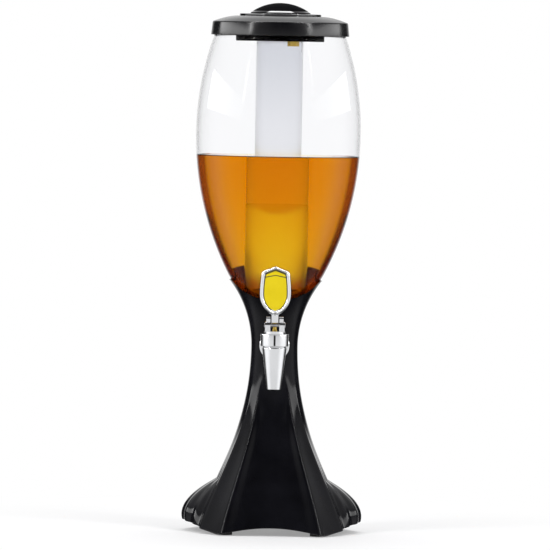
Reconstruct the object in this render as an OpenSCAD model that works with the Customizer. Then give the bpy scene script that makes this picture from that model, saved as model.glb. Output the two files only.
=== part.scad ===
// Table-top beer tower: fluted black stand, clear barrel with an ice tube, black lid and chrome tap.
// The front faces -Y, +Z is up and the origin is on the table, under the middle of the stand.

/* [Stand] */
// Height of the skirt's top edge above the table
skirt_h = 168; // [155:1:185]
// Radius of the skirt's ridges at the table
foot_r = 92; // [84:1:104]
// Angle from the middle of a panel to its ridges, in degrees
ridge_half = 34.5; // [30:0.5:36]
// Depth of the groove between the two ridges of a leg
groove = 1.6; // [0.6:0.1:3]
// Depth by which the front and back panels lie behind their ridges
recess = 1.8; // [0.6:0.1:3]
// Largest swell of the side panels
side_swell = 21.5; // [14:0.5:26]
// Height of the fullest part of the side panels
swell_z = 24; // [20:1:28]
// Height above and below it at which the swell has gone
swell_span = 30; // [28:1:40]
// Rise of the skirt's lower edge in the middle of each panel
arch_h = 10; // [5:1:14]
// Height of the skirt's own edge above the table, where the rubber feet carry it
edge_lift = 0.6; // [0.4:0.1:2]
// Wall of the skirt, measured level
skirt_wall = 3.4; // [2.6:0.2:5]
// Thickness of the bottom plate
plate_t = 3; // [2:0.5:5]
// Radius of a rubber foot
pad_r = 8; // [6:0.5:10]
// Gap from a rubber foot to the inside of its leg
pad_inset = 4; // [2:0.5:8]
// Angle of a rubber foot past the ridge beside the front or back panel, in degrees
pad_turn = 6; // [4:0.5:12]
// Radius of the tie bolt through the stand
tie_r = 3; // [2.5:0.25:4]

/* [Column] */
// Radius of the column at its waist
waist_r = 24; // [22:0.5:28]
// Height of the waist above the skirt
waist_up = 23; // [18:1:30]
// Wall of the collar at its side points
collar_wall = 1.8; // [1.2:0.1:3]
// Radius of the arc by which the column runs into the skirt
flare_r = 296; // [240:4:360]
// Wall of the column at the waist
column_wall = 3; // [2.4:0.2:4]
// Thickness of the column's two floors
web_t = 4; // [3:0.5:6]
// Radius of the cut that shapes the collar's rim
rim_r = 62; // [56:1:72]
// Height of the collar's side points above the lowest part of its rim
prong_up = 20.5; // [16:0.5:24]
// Distance behind the middle at which the collar's rim starts to rise
back_start = 15; // [10:1:20]
// Slope of the collar's rim behind that, in degrees
back_rise = 32; // [10:1:36]

/* [Barrel] */
// Largest radius of the barrel
barrel_r = 85; // [80:1:90]
// Height of the barrel's floor above the waist
seat_up = 48; // [47:0.5:50]
// Radius of the barrel's flat floor
flat_r = 20; // [18:0.5:24]
// Height of the widest part above the barrel's floor
belly_up = 171; // [166:1:180]
// Height of the barrel's mouth above its widest part
mouth_up = 111; // [100:1:118]
// Radius of the barrel's profile above its widest part
upper_r = 305; // [285:5:340]
// Radius of the barrel's profile below its widest part
lower_r = 312; // [308:2:324]
// Wall of the barrel
barrel_wall = 2.5; // [2:0.1:3.5]
// Outer radius of the outlet neck
neck_r = 14; // [12.5:0.5:15]
// Wall of the outlet neck
neck_wall = 4; // [3:0.25:5]
// Thickness of the gasket under the barrel
seat_gasket_t = 2; // [1:0.5:3]

/* [Lid] */
// Height of the lid's band below the barrel's mouth
band_drop = 10; // [7:0.5:13]
// Wall of the lid
lid_wall = 2.4; // [2:0.2:3.2]
// Flare of the band from its top to its lower edge
band_flare = 1.5; // [0.5:0.25:2.5]
// Rise of the lid's top from the band to the cap's seat
lid_rise = 6.2; // [4:0.2:10]
// Radius of the socket that holds the ice tube
socket_r = 45.5; // [42:0.5:50]
// Depth of the socket below the barrel's mouth
socket_drop = 16; // [13:0.5:20]
// Thickness of the gasket in the lid
lid_gasket_t = 1.5; // [1:0.25:2.5]
// Radius of the ice port's cap
cap_r = 42; // [38:0.5:46]
// Thickness of the cap's rim
cap_rim_t = 2.5; // [2:0.25:4]
// Radius of the cap's domed knob
knob_r = 28.4; // [24:0.2:32]
// Height of the knob above the cap's rim
knob_h = 11; // [8:0.5:16]
// Height of the part of the knob that is domed
dome_h = 8.5; // [6:0.5:10]

/* [Ice tube] */
// Outer radius of the ice tube
tube_r = 24; // [20:0.5:25]
// Gap between the ice tube's end and the barrel's floor
tube_clear = 12.5; // [8:0.5:40]
// Wall of the ice tube
tube_wall = 2; // [1.5:0.1:3]
// Width of the flange that hangs the tube
tube_lip = 4; // [3:0.5:4.5]

/* [Tap] */
// Height of the tap's shank above the waist
tap_up = 2; // [0:0.5:4]
// Distance from the column's axis to the spout's axis
tap_reach = 50; // [48:0.5:54]
// Radius of the spout's lower end
spout_end_r = 7.2; // [6.8:0.1:8]
// Radius of the spout where it meets the head
spout_top_r = 12.6; // [12:0.1:13.4]
// Length of the spout below the shank's axis
spout_l = 44; // [38:1:50]
// Radius of the tap's head
head_r = 14.4; // [13.8:0.1:16]
// Height of the tap's head
head_h = 12.6; // [11.6:0.2:14]
// Bore of the spout
spout_bore = 5; // [4:0.1:5.2]
// Radius of the valve chamber
chamber_r = 9; // [8.4:0.1:9.6]
// Radius of the threaded shank
shank_r = 8; // [7.4:0.2:8.6]
// Radius of the round flange behind the tap
flange_r = 15.5; // [14:0.5:18]
// Distance of the lever's pivot in front of the valve stem
pivot_fore = 7; // [6.6:0.1:8]
// Height of the pivot above the bonnet's flange
pivot_up = 6; // [5.6:0.2:7]
// Radius of the pivot pin
pin_r = 1.5; // [1.2:0.1:1.8]
// Half the width of the lever's lug
lug_half = 4.3; // [4:0.1:4.8]
// Thickness of the bonnet's ears
ear_t = 5.4; // [4:0.2:6]
// Greatest half width of the shield
shield_half = 16; // [14:0.5:18]
// Height of the shield's widest part above the pivot
shield_up = 32; // [31:0.5:36]
// Height of the shield's top above its widest part
shield_top = 29; // [26:0.5:32]
// Thickness of the shield
shield_t = 6; // [5:0.25:7]
// Width of the rim round the badge
shield_rim = 3.7; // [3:0.1:4.5]
// Forward lean of the shield, in degrees
shield_lean = 4.5; // [4:0.5:8]

/* [Foam unit] */
// Radius of the ultrasonic transducer
transducer_r = 8; // [6:0.5:9]
// Thickness of the transducer
transducer_t = 4; // [3:0.25:5]
// Radius of a battery cell
cell_r = 7.1; // [5:0.1:7.2]
// Length of a battery cell
cell_l = 50; // [40:0.5:51]
// Width of the driver board
board_w = 36; // [28:1:44]
// Depth of the driver board
board_d = 32; // [24:1:36]

/* [Fits] */
// Radial clearance of the turning and sliding metal parts
running = 0.05; // [0.02:0.01:0.1]
// Clearance between parts that are slipped together
slip = 0.3; // [0.2:0.05:0.4]
// Gap between the barrel and the collar
cup_gap = 0.4; // [0.3:0.1:0.8]

/* [Hidden] */
$fn = 96;
far = 400;

// Heights of the main joints
waist_z = skirt_h + waist_up;
floor_z = waist_z + seat_up;
belly_z = floor_z + belly_up;
mouth_z = belly_z + mouth_up;
tap_z = waist_z + tap_up;
cup_z = floor_z - seat_gasket_t;
web_top_z = skirt_h + web_t;

// Skirt: rings of points, closer together near the table and beside the ridges
ring_count = 16;
panel_steps = 6;
leg_steps = 6;
ring_bunching = 1.5;
ridge_bunching = 0.6;
leg_half = 45 - ridge_half;
neck_top_r = column_r(skirt_h);
facet_start = 0.28;
recess_angle = 4;
side_crown = 3;
rise_square = 2.05;
rise_cube = -1.05;
front_arch_share = 0.75;
front_arch_power = 2.2;
side_arch_power = 1.2;
landing_turn = 3;
landing_angle = ridge_half + landing_turn;
swell_power = 1.3;
quarter = concat(
    [for (k = [0:panel_steps - 1]) panel_angle(k)],
    [for (k = [0:leg_steps - 1]) ridge_half + 2 * leg_half * k / leg_steps],
    [for (k = [0:panel_steps - 1]) 90 - panel_angle(panel_steps - k)]);
quarter_count = len(quarter);
turn_count = 4 * quarter_count;

// Bottom plate, feet and tie bolt
plate_z = arch_h + 1;
plate_top_z = plate_z + plate_t;
pad_angle = ridge_half + pad_turn;
leg_inner_r = ridge_r(0) * cos(leg_half) - groove - skirt_wall;
pad_at = leg_inner_r - pad_inset - pad_r;
pad_stem_r = pad_r / 3;
pad_barb = 0.8;
pad_barb_h = 2;
tie_head_r = 2 * tie_r;
tie_head_h = 1.3 * tie_r;
tie_washer_r = 2.2 * tie_r;
tie_washer_t = 1.2;
tie_nut_h = 1.5 * tie_r;
spigot_l = 5;
spigot_wall = 3;

// Column and its fittings
cavity_r = waist_r - column_wall;
cavity_top_z = cup_z - web_t;
tap_boss_r = flange_r - 1.5;
tap_face = waist_r + 1;
tap_pad = cavity_r - web_t;
neck_bore = neck_r - neck_wall;
locknut_h = 6;
locknut_r = cavity_r - 1;
elbow_r = neck_bore;
elbow_up = 14;
elbow_down = 12;
elbow_top_z = tap_z + elbow_up;
elbow_bottom_z = tap_z - elbow_down;
spigot_up = 10;
outlet_bore = 6;
o_ring_r = 1.2;

// Barrel: the bowl's arc meets the flat floor, is tangent to the lower arc and has its centre on the axis
lower_x = barrel_r - lower_r;
bowl_slope = belly_up / lower_r;
bowl_base = (pow(lower_r, 2) + pow(flat_r, 2) - pow(lower_x, 2) - pow(belly_up, 2)) / (2 * lower_r);
bowl_tilt = 1 - pow(bowl_slope, 2);
bowl_rise = (bowl_base * bowl_slope + sqrt(pow(bowl_base * bowl_slope, 2)
    - bowl_tilt * (pow(flat_r, 2) - pow(bowl_base, 2)))) / bowl_tilt;
bowl_r = bowl_base + bowl_slope * bowl_rise;
bowl_centre_z = floor_z + bowl_rise;
bowl_z = bowl_centre_z + bowl_r * (bowl_centre_z - belly_z) / (lower_r - bowl_r);
mouth_r = barrel_r - upper_r + sqrt(pow(upper_r, 2) - pow(mouth_up, 2));

// Collar: its outer arc rises from the waist to the side points, and its back follows the barrel above them
tip_z = floor_z + prong_up;
back_z = tip_z + (barrel_r - back_start) * tan(back_rise);
tip_r = sqrt(pow(bowl_r, 2) - pow(bowl_centre_z - tip_z, 2)) + cup_gap + collar_wall;
trumpet_r = (pow(tip_r - waist_r, 2) + pow(tip_z - waist_z, 2)) / (2 * (tip_r - waist_r));

// Lid and cap
band_z = mouth_z - band_drop;
band_inner_r = barrel_r - upper_r + sqrt(pow(upper_r, 2) - pow(mouth_up - band_drop, 2)) + 1;
band_r = band_inner_r + lid_wall;
lid_under_z = mouth_z + lid_gasket_t;
shoulder_z = lid_under_z + lid_wall;
cap_seat_z = shoulder_z + lid_rise;
shoulder_r = band_r - band_flare;
edge_round = 1.5;
socket_z = mouth_z - socket_drop;
socket_floor_t = 3;
port_r = tube_r + tube_lip + slip;
port_wall = 3;
tube_lip_t = 3;
tube_lip_z = mouth_z - tube_lip_t;
tube_top_z = mouth_z;
cap_top_z = cap_seat_z + cap_rim_t;
knob_top_z = cap_top_z + knob_h;
dome_z = knob_top_z - dome_h;
dome_r = (pow(knob_r, 2) + pow(dome_h, 2)) / (2 * dome_h);
cap_wall = 2.5;
cap_step = 0.7;
knob_flare = 2;
plug_r = port_r - slip;
plug_z = tube_top_z + 1;
port_ring_r = 0.8;
vent_x = 13.5;
vent_y = -33;
vent_head_r = 6;
vent_head_h = 5;
vent_stem_r = 4;
vent_bore = 1.5;
vent_top_z = socket_z + 2 * socket_floor_t;
flap_t = 1;

// Tap
spout_z = tap_z - spout_l;
head_z = tap_z + 0.6;
head_top_z = head_z + head_h;
seat_z = tap_z - 9;
bonnet_flange_t = 3;
bonnet_top_z = head_top_z + bonnet_flange_t;
bonnet_flange_r = 10.8;
bonnet_drop = 8;
spring_seat_z = head_top_z - 4;
spring_pocket_r = 6.5;
stem_r = 2.5;
stem_disc_r = 5.9;
stem_disc_t = 1.5;
stem_neck_r = 2;
stem_tip_r = 1.8;
plug_h = 5;
valve_plug_r = 6.8;
pivot_y = -tap_reach - pivot_fore;
pivot_z = bonnet_top_z + pivot_up;
nose_r = 2;
stem_head_r = 3.2;
stem_head_t = 2.2;
stem_head_z = pivot_z + nose_r + slip;
ear_inner = lug_half + slip;
ear_outer = ear_inner + ear_t;
ear_half_d = 4;
ear_tip_half_d = 2.4;
ear_step = 1.2;
ear_top = 9;
hub_r = 3.8;
lug_half_d = 3;
lug_front = 2.4;
shield_low_r = 1.5 * shield_half;
shield_side_r = 140;
shield_crown_r = 22;
badge_t = 1.5;
badge_sink = 0.4;
badge_gap = 0.12;
shank_tail_y = -11;
shank_tail_l = 7;
shank_tail_r = 6;
shank_bore = 4;
seal_t = 1.5;
washer_t = 1.5;
flange_t = 4.5;
flange_edge = 1.5;
washer_rim = 4;
nut_rim = 3.6;
tap_edge = 0.8;
slit_w = 2;
slit_d = 1.2;
pin_head_rim = 0.8;
pin_head_t = 1;
lug_overlap = 10;
spring_turns = 5;
spring_turn_steps = 12;
spring_wire_r = 0.5;
spring_wire_sides = 6;
spring_mean_r = 5;

// Foam unit
board_up = 6;
board_t = 1.6;
board_clear = 5.5;
board_z = plate_top_z + board_up;
capacitor_r = 3;
capacitor_h = 10;
board_top_z = board_z + board_t + capacitor_h;
board_y = board_clear + skirt_wall - skirt_r(board_top_z, 0);
post_r = 2.4;
tray_wall = 1.6;
cell_gap = 0.4;
cell_pitch = 2 * cell_r + cell_gap;
tray_half = 1.5 * cell_pitch + cell_gap;
tray_y = tie_washer_r + tray_wall;
contact_t = 0.6;
tray_l = cell_l + 2 * contact_t;
cover_t = 2;
cover_lip = 1.4;
cell_z = plate_z + cover_t + cell_r;
tray_top_z = cell_z + cell_r + cell_gap + tray_wall;
contact_inset = 0.5;
cover_screw_r = 1.4;
cover_screw_head_t = 1.2;
cover_tab = 8;
switch_x = 46;
switch_w = 8;
switch_d = 14;
switch_h = 8;
switch_rim = 2;
switch_rim_t = 1.5;
slider_w = 4;
slider_d = 4;
slider_travel = 4;
slider_out = 3;
slider_in = 3;
coil_w = 12;
coil_h = 9;
chip_w = 8;
chip_h = 1.6;
solder_sink = 0.1;

// Lead from the transducer, through the column's lower floor, to the board
lead_r = 0.9;
lead_x = 5.5;
lead_sides = 8;
lead_bend = 3.2;
lead_back_y = elbow_r + transducer_t;
lead_web_y = 1.2 * elbow_r;
lead_end_y = board_y + board_d - 2 * lead_bend;
lead_end_z = board_z + board_t;
lead_route = [[lead_back_y, tap_z], [lead_back_y + lead_bend / 2, tap_z],
    [lead_back_y + 0.9 * lead_bend, tap_z - lead_bend / 2],
    [lead_back_y + lead_bend, tap_z - 1.6 * lead_bend], [lead_web_y, web_top_z + lead_bend],
    [lead_web_y, skirt_h - lead_bend], [lead_web_y / 6, skirt_h / 2],
    [lead_end_y / 2, lead_end_z + 7 * lead_bend], [lead_end_y + lead_bend, lead_end_z + 3 * lead_bend],
    [lead_end_y, lead_end_z + lead_bend], [lead_end_y, lead_end_z]];
lead_path = [for (p = lead_route) [lead_x, p[0], p[1]]];

// Round helpers
module tube(outer, inner, bottom, top) {
    translate([0, 0, bottom])
        difference() {
            cylinder(r = outer, h = top - bottom);
            translate([0, 0, -1]) cylinder(r = inner, h = top - bottom + 2);
        }
}
module rod(r, bottom, top) {
    translate([0, 0, bottom]) cylinder(r = r, h = top - bottom);
}
module o_ring(mean, r, z) {
    translate([0, 0, z]) rotate_extrude() translate([mean, 0]) circle(r = r);
}
module along_y(r, from, to, z) {
    translate([0, to, z]) rotate([90, 0, 0]) cylinder(r = r, h = to - from);
}
module along_x(r, from, to, y, z) {
    translate([from, y, z]) rotate([0, 90, 0]) cylinder(r = r, h = to - from);
}
module block(low, high) {
    translate(low) cube(high - low);
}
module hex_prism(r, bottom, top) {
    translate([0, 0, bottom]) cylinder(r = r, h = top - bottom, $fn = 6);
}
module at_feet() {
    for (x = [-1, 1], y = [-1, 1])
        translate([x * pad_at * sin(pad_angle), y * pad_at * cos(pad_angle), 0]) children();
}

// Profiles shared by the barrel and the collar
function column_r(z) = waist_r + flare_r - sqrt(pow(flare_r, 2) - pow(waist_z - z, 2));
module above(z) {
    translate([0, z]) square(far);
}
module below(z) {
    translate([0, z]) mirror([0, 1]) square(far);
}
module barrel_outline(inset, bottom, top) {
    bowl_end_z = bowl_centre_z - (bowl_r - inset) * (bowl_centre_z - bowl_z) / bowl_r;
    intersection() {
        translate([barrel_r - upper_r, belly_z]) circle(r = upper_r - inset);
        above(belly_z);
        below(top);
    }
    intersection() {
        translate([lower_x, belly_z]) circle(r = lower_r - inset);
        above(bowl_end_z);
        below(belly_z);
    }
    intersection() {
        translate([0, bowl_centre_z]) circle(r = bowl_r - inset);
        above(bottom);
        below(bowl_end_z);
    }
}
module column_outline() {
    difference() {
        intersection() {
            translate([0, waist_z]) square([waist_r + trumpet_r, far]);
            below(tip_z);
        }
        translate([waist_r + trumpet_r, waist_z]) circle(r = trumpet_r);
    }
    intersection() {
        barrel_outline(-cup_gap - collar_wall, tip_z, belly_z);
        above(tip_z);
        below(back_z);
    }
    difference() {
        translate([0, waist_z]) mirror([0, 1]) square([waist_r + flare_r, waist_up]);
        translate([waist_r + flare_r, waist_z]) circle(r = flare_r);
    }
}

// Skirt surface: four legs with two ridges each, flat panels between them, full side panels
function panel_angle(k) = ridge_half * pow(k / panel_steps, ridge_bunching);
function drop_share(z) = 1 - z / skirt_h;
function ridge_r(z) = let (t = drop_share(z))
    neck_top_r + (foot_r - neck_top_r) * (rise_square * t * t + rise_cube * t * t * t);
function smooth(x) = let (c = min(max(x, 0), 1)) c * c * (3 - 2 * c);
function facet_share(z) = smooth(drop_share(z) / facet_start);
function swell(z) = side_crown + side_swell * max(0, 1 - pow((z - swell_z) / swell_span, 2));
function chord(half, angle) = cos(half) / cos(angle);
function panel_r(z, angle) = ridge_r(z) * chord(ridge_half, angle)
    - recess * min(1, (ridge_half - angle) / recess_angle);
function side_r(z, angle) = ridge_r(z) * chord(ridge_half, angle)
    + swell(z) * pow(cos(90 * angle / ridge_half), swell_power);
function leg_r(z, angle) = ridge_r(z) * chord(leg_half, angle)
    - groove * (1 - pow(angle / leg_half, 2));
function shape_r(z, angle) = angle < ridge_half ? panel_r(z, angle)
    : angle > 90 - ridge_half ? side_r(z, 90 - angle)
    : leg_r(z, abs(angle - 45));
function skirt_r(z, angle) = ridge_r(z) + facet_share(z) * (shape_r(z, angle) - ridge_r(z));
function arch(angle) = edge_lift + arch_h * (angle < landing_angle
    ? front_arch_share * (1 - pow(angle / landing_angle, front_arch_power))
    : pow(sin(90 * (angle - landing_angle) / (90 - landing_angle)), side_arch_power));

// Angle from the front for step i of a full turn, and the same angle folded into one quarter
function fold(i) = let (q = floor(i / quarter_count), k = i % quarter_count)
    q % 2 == 0 ? quarter[k] : k == 0 ? 90 : quarter[quarter_count - k];
function heading(i) = let (q = floor(i / quarter_count), k = i % quarter_count)
    90 * q + (q % 2 == 0 ? quarter[k] : 90 - fold(i));
function polar(r, turn, z) = [r * sin(turn), -r * cos(turn), z];
function ring_z(j, angle) = arch(angle) + (skirt_h - arch(angle)) * pow(j / ring_count, ring_bunching);
function skirt_point(i, j, wall) = let (angle = fold(i), z = ring_z(j, angle))
    polar(skirt_r(z, angle) - wall, heading(i), z);
function skirt_ring(j, wall) = [for (i = [0:turn_count - 1]) skirt_point(i, j, wall)];
function band_faces(lower, upper) = [for (i = [0:turn_count - 1]) let (n = (i + 1) % turn_count)
    each [[lower + i, upper + i, upper + n], [lower + i, upper + n, lower + n]]];

module base_skirt() {
    outer = [for (j = [0:ring_count]) each skirt_ring(j, 0)];
    inner = [for (j = [ring_count:-1:0]) each skirt_ring(j, skirt_wall)];
    loops = 2 * (ring_count + 1);
    faces = [for (loop = [0:loops - 1])
        each band_faces(loop * turn_count, (loop + 1) % loops * turn_count)];
    color("#161617") polyhedron(points = concat(outer, inner), faces = faces, convexity = 10);
}

module base_column() {
    rim_axis_z = floor_z + rim_r;
    color("#161617") difference() {
        union() {
            difference() {
                rotate_extrude() difference() {
                    column_outline();
                    barrel_outline(-cup_gap, floor_z, mouth_z);
                    translate([0, cup_z]) square([flat_r, seat_gasket_t + 1]);
                    translate([0, web_top_z]) square([cavity_r, cavity_top_z - web_top_z]);
                }
                along_y(rim_r, -far, 0, rim_axis_z);
                block([-far, -far, tip_z], [far, back_start, tip_z + far]);
                translate([0, back_start, tip_z]) rotate([back_rise, 0, 0]) block([-far, 0, 0], [far, far, far]);
            }
            along_y(tap_boss_r, -tap_face, -tap_pad, tap_z);
            tube(neck_top_r - skirt_wall - slip, neck_top_r - skirt_wall - slip - spigot_wall,
                skirt_h - spigot_l, skirt_h + 1);
        }
        rod(neck_r + slip, cavity_top_z - 1, cup_z + 1);
        rod(tie_r + slip, skirt_h - 1, web_top_z + 1);
        along_y(shank_r + slip, -tap_face - 1, -tap_pad + 1, tap_z);
        translate([lead_x, lead_web_y, skirt_h - 1]) cylinder(r = 2 * lead_r, h = web_t + 2);
    }
}

module plate_outline(gap) {
    polygon([for (i = [0:turn_count - 1]) let (angle = fold(i), turn = heading(i))
        let (r = skirt_r(plate_top_z, angle) - skirt_wall - gap) [r * sin(turn), -r * cos(turn)]]);
}
module at_tray() {
    translate([0, tray_y + tray_half, 0]) rotate([0, 0, 90]) children();
}
module bottom_plate() {
    color("#1b1b1c") difference() {
        union() {
            translate([0, 0, plate_z]) linear_extrude(plate_t) plate_outline(2 * slip);
            for (x = [-1, 1], y = [board_y + 2 * post_r, board_y + board_d - 2 * post_r])
                translate([x * (board_w / 2 - 2 * post_r), y, 0]) rod(post_r, plate_z + 1, board_z);
        }
        at_feet() rod(pad_stem_r + slip, plate_z - 1, plate_top_z + 1);
        rod(tie_r + slip, plate_z - 1, plate_top_z + 1);
        at_tray() block([-tray_half, -tray_l / 2, plate_z - 1], [tray_half, tray_l / 2, plate_top_z + 1]);
        at_tray() translate([0, 0, plate_z - 1]) linear_extrude(cover_t + 1) cover_outline(0);
        at_cover_screw() rod(cover_screw_r, plate_z - 1, plate_top_z + 1);
        switch_block(switch_w / 2 + slip, -switch_d / 2 - slip, switch_d / 2 + slip,
            plate_z - 1, plate_top_z + 1);
    }
}
module rubber_feet() {
    color("#2a2a2b") at_feet() {
        rod(pad_r, 0, plate_z);
        rod(pad_stem_r, plate_z - 1, plate_top_z + 1);
        rod(pad_stem_r + pad_barb, plate_top_z, plate_top_z + pad_barb_h);
    }
}
module tie_bolt() {
    head_top = plate_z - tie_washer_t;
    color("silver") {
        hex_prism(tie_head_r, head_top - tie_head_h, head_top);
        rod(tie_r, head_top - 1, web_top_z + tie_nut_h + 1);
    }
}
module tie_washer() {
    color("silver") tube(tie_washer_r, tie_r + slip, plate_z - tie_washer_t, plate_z);
}
module tie_nut() {
    color("silver") difference() {
        hex_prism(tie_head_r, web_top_z, web_top_z + tie_nut_h);
        rod(tie_r + running, web_top_z - 1, web_top_z + tie_nut_h + 1);
    }
}

module barrel() {
    color("#e8f0f2", 0.35) difference() {
        union() {
            rotate_extrude() barrel_outline(0, floor_z, mouth_z);
            rod(neck_r, elbow_top_z, floor_z + 1);
        }
        rotate_extrude() barrel_outline(barrel_wall, floor_z + barrel_wall, mouth_z + 1);
        rod(neck_bore, elbow_top_z - 1, floor_z + barrel_wall + 1);
    }
}
module barrel_gasket() {
    color("#3a3a3a") tube(flat_r - slip, neck_r + slip, cup_z, floor_z);
}
module barrel_locknut() {
    color("#202022") difference() {
        hex_prism(locknut_r, cavity_top_z - locknut_h, cavity_top_z);
        rod(neck_r + running, cavity_top_z - locknut_h - 1, cavity_top_z + 1);
    }
}
module outlet_elbow() {
    groove_z = elbow_top_z + spigot_up / 2;
    color("#2c2c2e") difference() {
        union() {
            rod(elbow_r, elbow_bottom_z, elbow_top_z);
            rod(neck_bore - slip, elbow_top_z - 1, elbow_top_z + spigot_up);
            along_y(transducer_r, 0, elbow_r, tap_z);
        }
        rod(outlet_bore, tap_z, elbow_top_z + spigot_up + 1);
        along_y(shank_tail_r + running, -elbow_r - 1, 0, tap_z);
        tube(neck_bore + 1, neck_bore - 2 * o_ring_r, groove_z - o_ring_r, groove_z + o_ring_r);
    }
}
module elbow_o_ring() {
    color("#111111") o_ring(neck_bore - o_ring_r, o_ring_r, elbow_top_z + spigot_up / 2);
}

module tap_body() {
    color("#d9dcde") difference() {
        union() {
            translate([0, -tap_reach, 0]) rotate_extrude() polygon([
                [0, spout_z], [spout_end_r - tap_edge, spout_z], [spout_end_r, spout_z + tap_edge],
                [spout_top_r, head_z - tap_edge], [spout_top_r, head_z], [head_r - tap_edge, head_z],
                [head_r, head_z + tap_edge], [head_r, head_top_z - tap_edge],
                [head_r - tap_edge, head_top_z], [0, head_top_z]]);
            along_y(shank_r, -tap_reach, shank_tail_y, tap_z);
            along_y(shank_tail_r, shank_tail_y - 1, shank_tail_y + shank_tail_l, tap_z);
        }
        translate([0, -tap_reach, 0]) rod(chamber_r, seat_z, head_top_z + 1);
        translate([0, -tap_reach, 0]) rod(spout_bore, spout_z - 1, seat_z + 1);
        along_y(shank_bore, -tap_reach, shank_tail_y + shank_tail_l + 1, tap_z);
        block([-slit_w / 2, -tap_reach - head_r - 1, head_z + tap_edge],
            [slit_w / 2, -tap_reach - head_r + slit_d, head_top_z - tap_edge]);
    }
}
module shank_flange() {
    color("#d9dcde") translate([0, 0, tap_z]) rotate([90, 0, 0]) translate([0, 0, tap_face + seal_t])
        rotate_extrude() polygon([[shank_r + slip, 0], [flange_r, 0], [flange_r, flange_t - flange_edge],
            [flange_r - flange_edge, flange_t], [shank_r + slip, flange_t]]);
}
module shank_ring(outer, from, to) {
    difference() {
        along_y(outer, from, to, tap_z);
        along_y(shank_r + running, from - 1, to + 1, tap_z);
    }
}
module shank_seal() {
    color("#1a1a1a") shank_ring(tap_boss_r - 1, -tap_face - seal_t, -tap_face);
}
module shank_washer() {
    color("silver") shank_ring(shank_r + washer_rim, -tap_pad, -tap_pad + washer_t);
}
module shank_nut() {
    from = -tap_pad + washer_t;
    color("silver") difference() {
        translate([0, shank_tail_y, tap_z]) rotate([90, 0, 0])
            cylinder(r = shank_r + nut_rim, h = shank_tail_y - from, $fn = 6);
        along_y(shank_r + running, from - 1, shank_tail_y + 1, tap_z);
    }
}

module bonnet_ear() {
    tip_z = pivot_z + ear_top - ear_tip_half_d;
    block([ear_inner, pivot_y - ear_half_d, bonnet_top_z - 1], [ear_outer, pivot_y + ear_half_d, pivot_z]);
    along_x(ear_half_d, ear_inner, ear_outer, pivot_y, pivot_z);
    block([ear_inner, pivot_y - ear_tip_half_d, pivot_z],
        [ear_outer - ear_step, pivot_y + ear_tip_half_d, tip_z]);
    along_x(ear_tip_half_d, ear_inner, ear_outer - ear_step, pivot_y, tip_z);
}
module tap_bonnet() {
    color("#d9dcde") difference() {
        union() {
            translate([0, -tap_reach, 0]) rod(chamber_r - running, head_top_z - bonnet_drop, bonnet_top_z);
            translate([0, -tap_reach, 0]) rod(bonnet_flange_r, head_top_z, bonnet_top_z);
            translate([0, pivot_y + 1, 0]) rod(bonnet_flange_r, head_top_z, bonnet_top_z);
            block([-bonnet_flange_r, pivot_y + 1, head_top_z], [bonnet_flange_r, -tap_reach, bonnet_top_z]);
            for (side = [0, 1]) mirror([side, 0, 0]) bonnet_ear();
        }
        translate([0, -tap_reach, 0]) {
            rod(spring_pocket_r, head_top_z - bonnet_drop - 1, spring_seat_z);
            rod(stem_r + 2 * o_ring_r + running, spring_seat_z - 1, spring_seat_z + 2 * o_ring_r + running);
            rod(stem_r + running, spring_seat_z, bonnet_top_z + 1);
        }
        along_x(pin_r + running / 2, -ear_outer - 1, ear_outer + 1, pivot_y, pivot_z);
    }
}
module stem_o_ring() {
    color("#111111") translate([0, -tap_reach, 0])
        o_ring(stem_r + o_ring_r + running, o_ring_r - running / 2, spring_seat_z + o_ring_r);
}
module valve_stem() {
    color("#c9a85a") translate([0, -tap_reach, 0]) {
        rod(stem_tip_r, seat_z + 1, seat_z + plug_h + 1);
        rod(stem_disc_r, seat_z + plug_h, seat_z + plug_h + stem_disc_t);
        rod(stem_r, seat_z + plug_h, bonnet_top_z + 1);
        rod(stem_neck_r, bonnet_top_z, stem_head_z + 1);
        rod(stem_head_r, stem_head_z, stem_head_z + stem_head_t);
    }
}
module valve_plug() {
    color("#252525") translate([0, -tap_reach, 0]) difference() {
        rod(valve_plug_r, seat_z, seat_z + plug_h);
        rod(stem_tip_r + running, seat_z + 1, seat_z + plug_h + 1);
    }
}

// A round wire swept along points, with its sides placed by one fixed direction
function unit(v) = v / norm(v);
function tangent(path, i) = unit(path[min(i + 1, len(path) - 1)] - path[max(i - 1, 0)]);
function wire_ring(at, along, across, r, sides) = let (u = unit(cross(along, across)), v = cross(along, u))
    [for (k = [0:sides - 1]) at + r * (cos(360 * k / sides) * u + sin(360 * k / sides) * v)];
function wire_faces(rings, sides) = concat(
    [for (i = [0:rings - 2], k = [0:sides - 1]) let (n = (k + 1) % sides, a = i * sides, b = a + sides)
        each [[a + k, a + n, b + n], [a + k, b + n, b + k]]],
    [for (k = [1:sides - 2]) [0, k + 1, k]],
    [for (k = [1:sides - 2]) let (last = (rings - 1) * sides) [last, last + k, last + k + 1]]);
module wire(path, across, r, sides) {
    points = [for (i = [0:len(path) - 1]) each wire_ring(path[i], tangent(path, i), across, r, sides)];
    polyhedron(points = points, faces = wire_faces(len(path), sides), convexity = 10);
}

module return_spring() {
    low = seat_z + plug_h + stem_disc_t + spring_wire_r;
    high = spring_seat_z - spring_wire_r;
    steps = spring_turn_steps * spring_turns;
    path = [for (k = [0:steps]) let (turn = 360 * k / spring_turn_steps)
        [spring_mean_r * cos(turn), -tap_reach + spring_mean_r * sin(turn), low + (high - low) * k / steps]];
    color("silver") wire(path, [0, 0, 1], spring_wire_r, spring_wire_sides);
}

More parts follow.
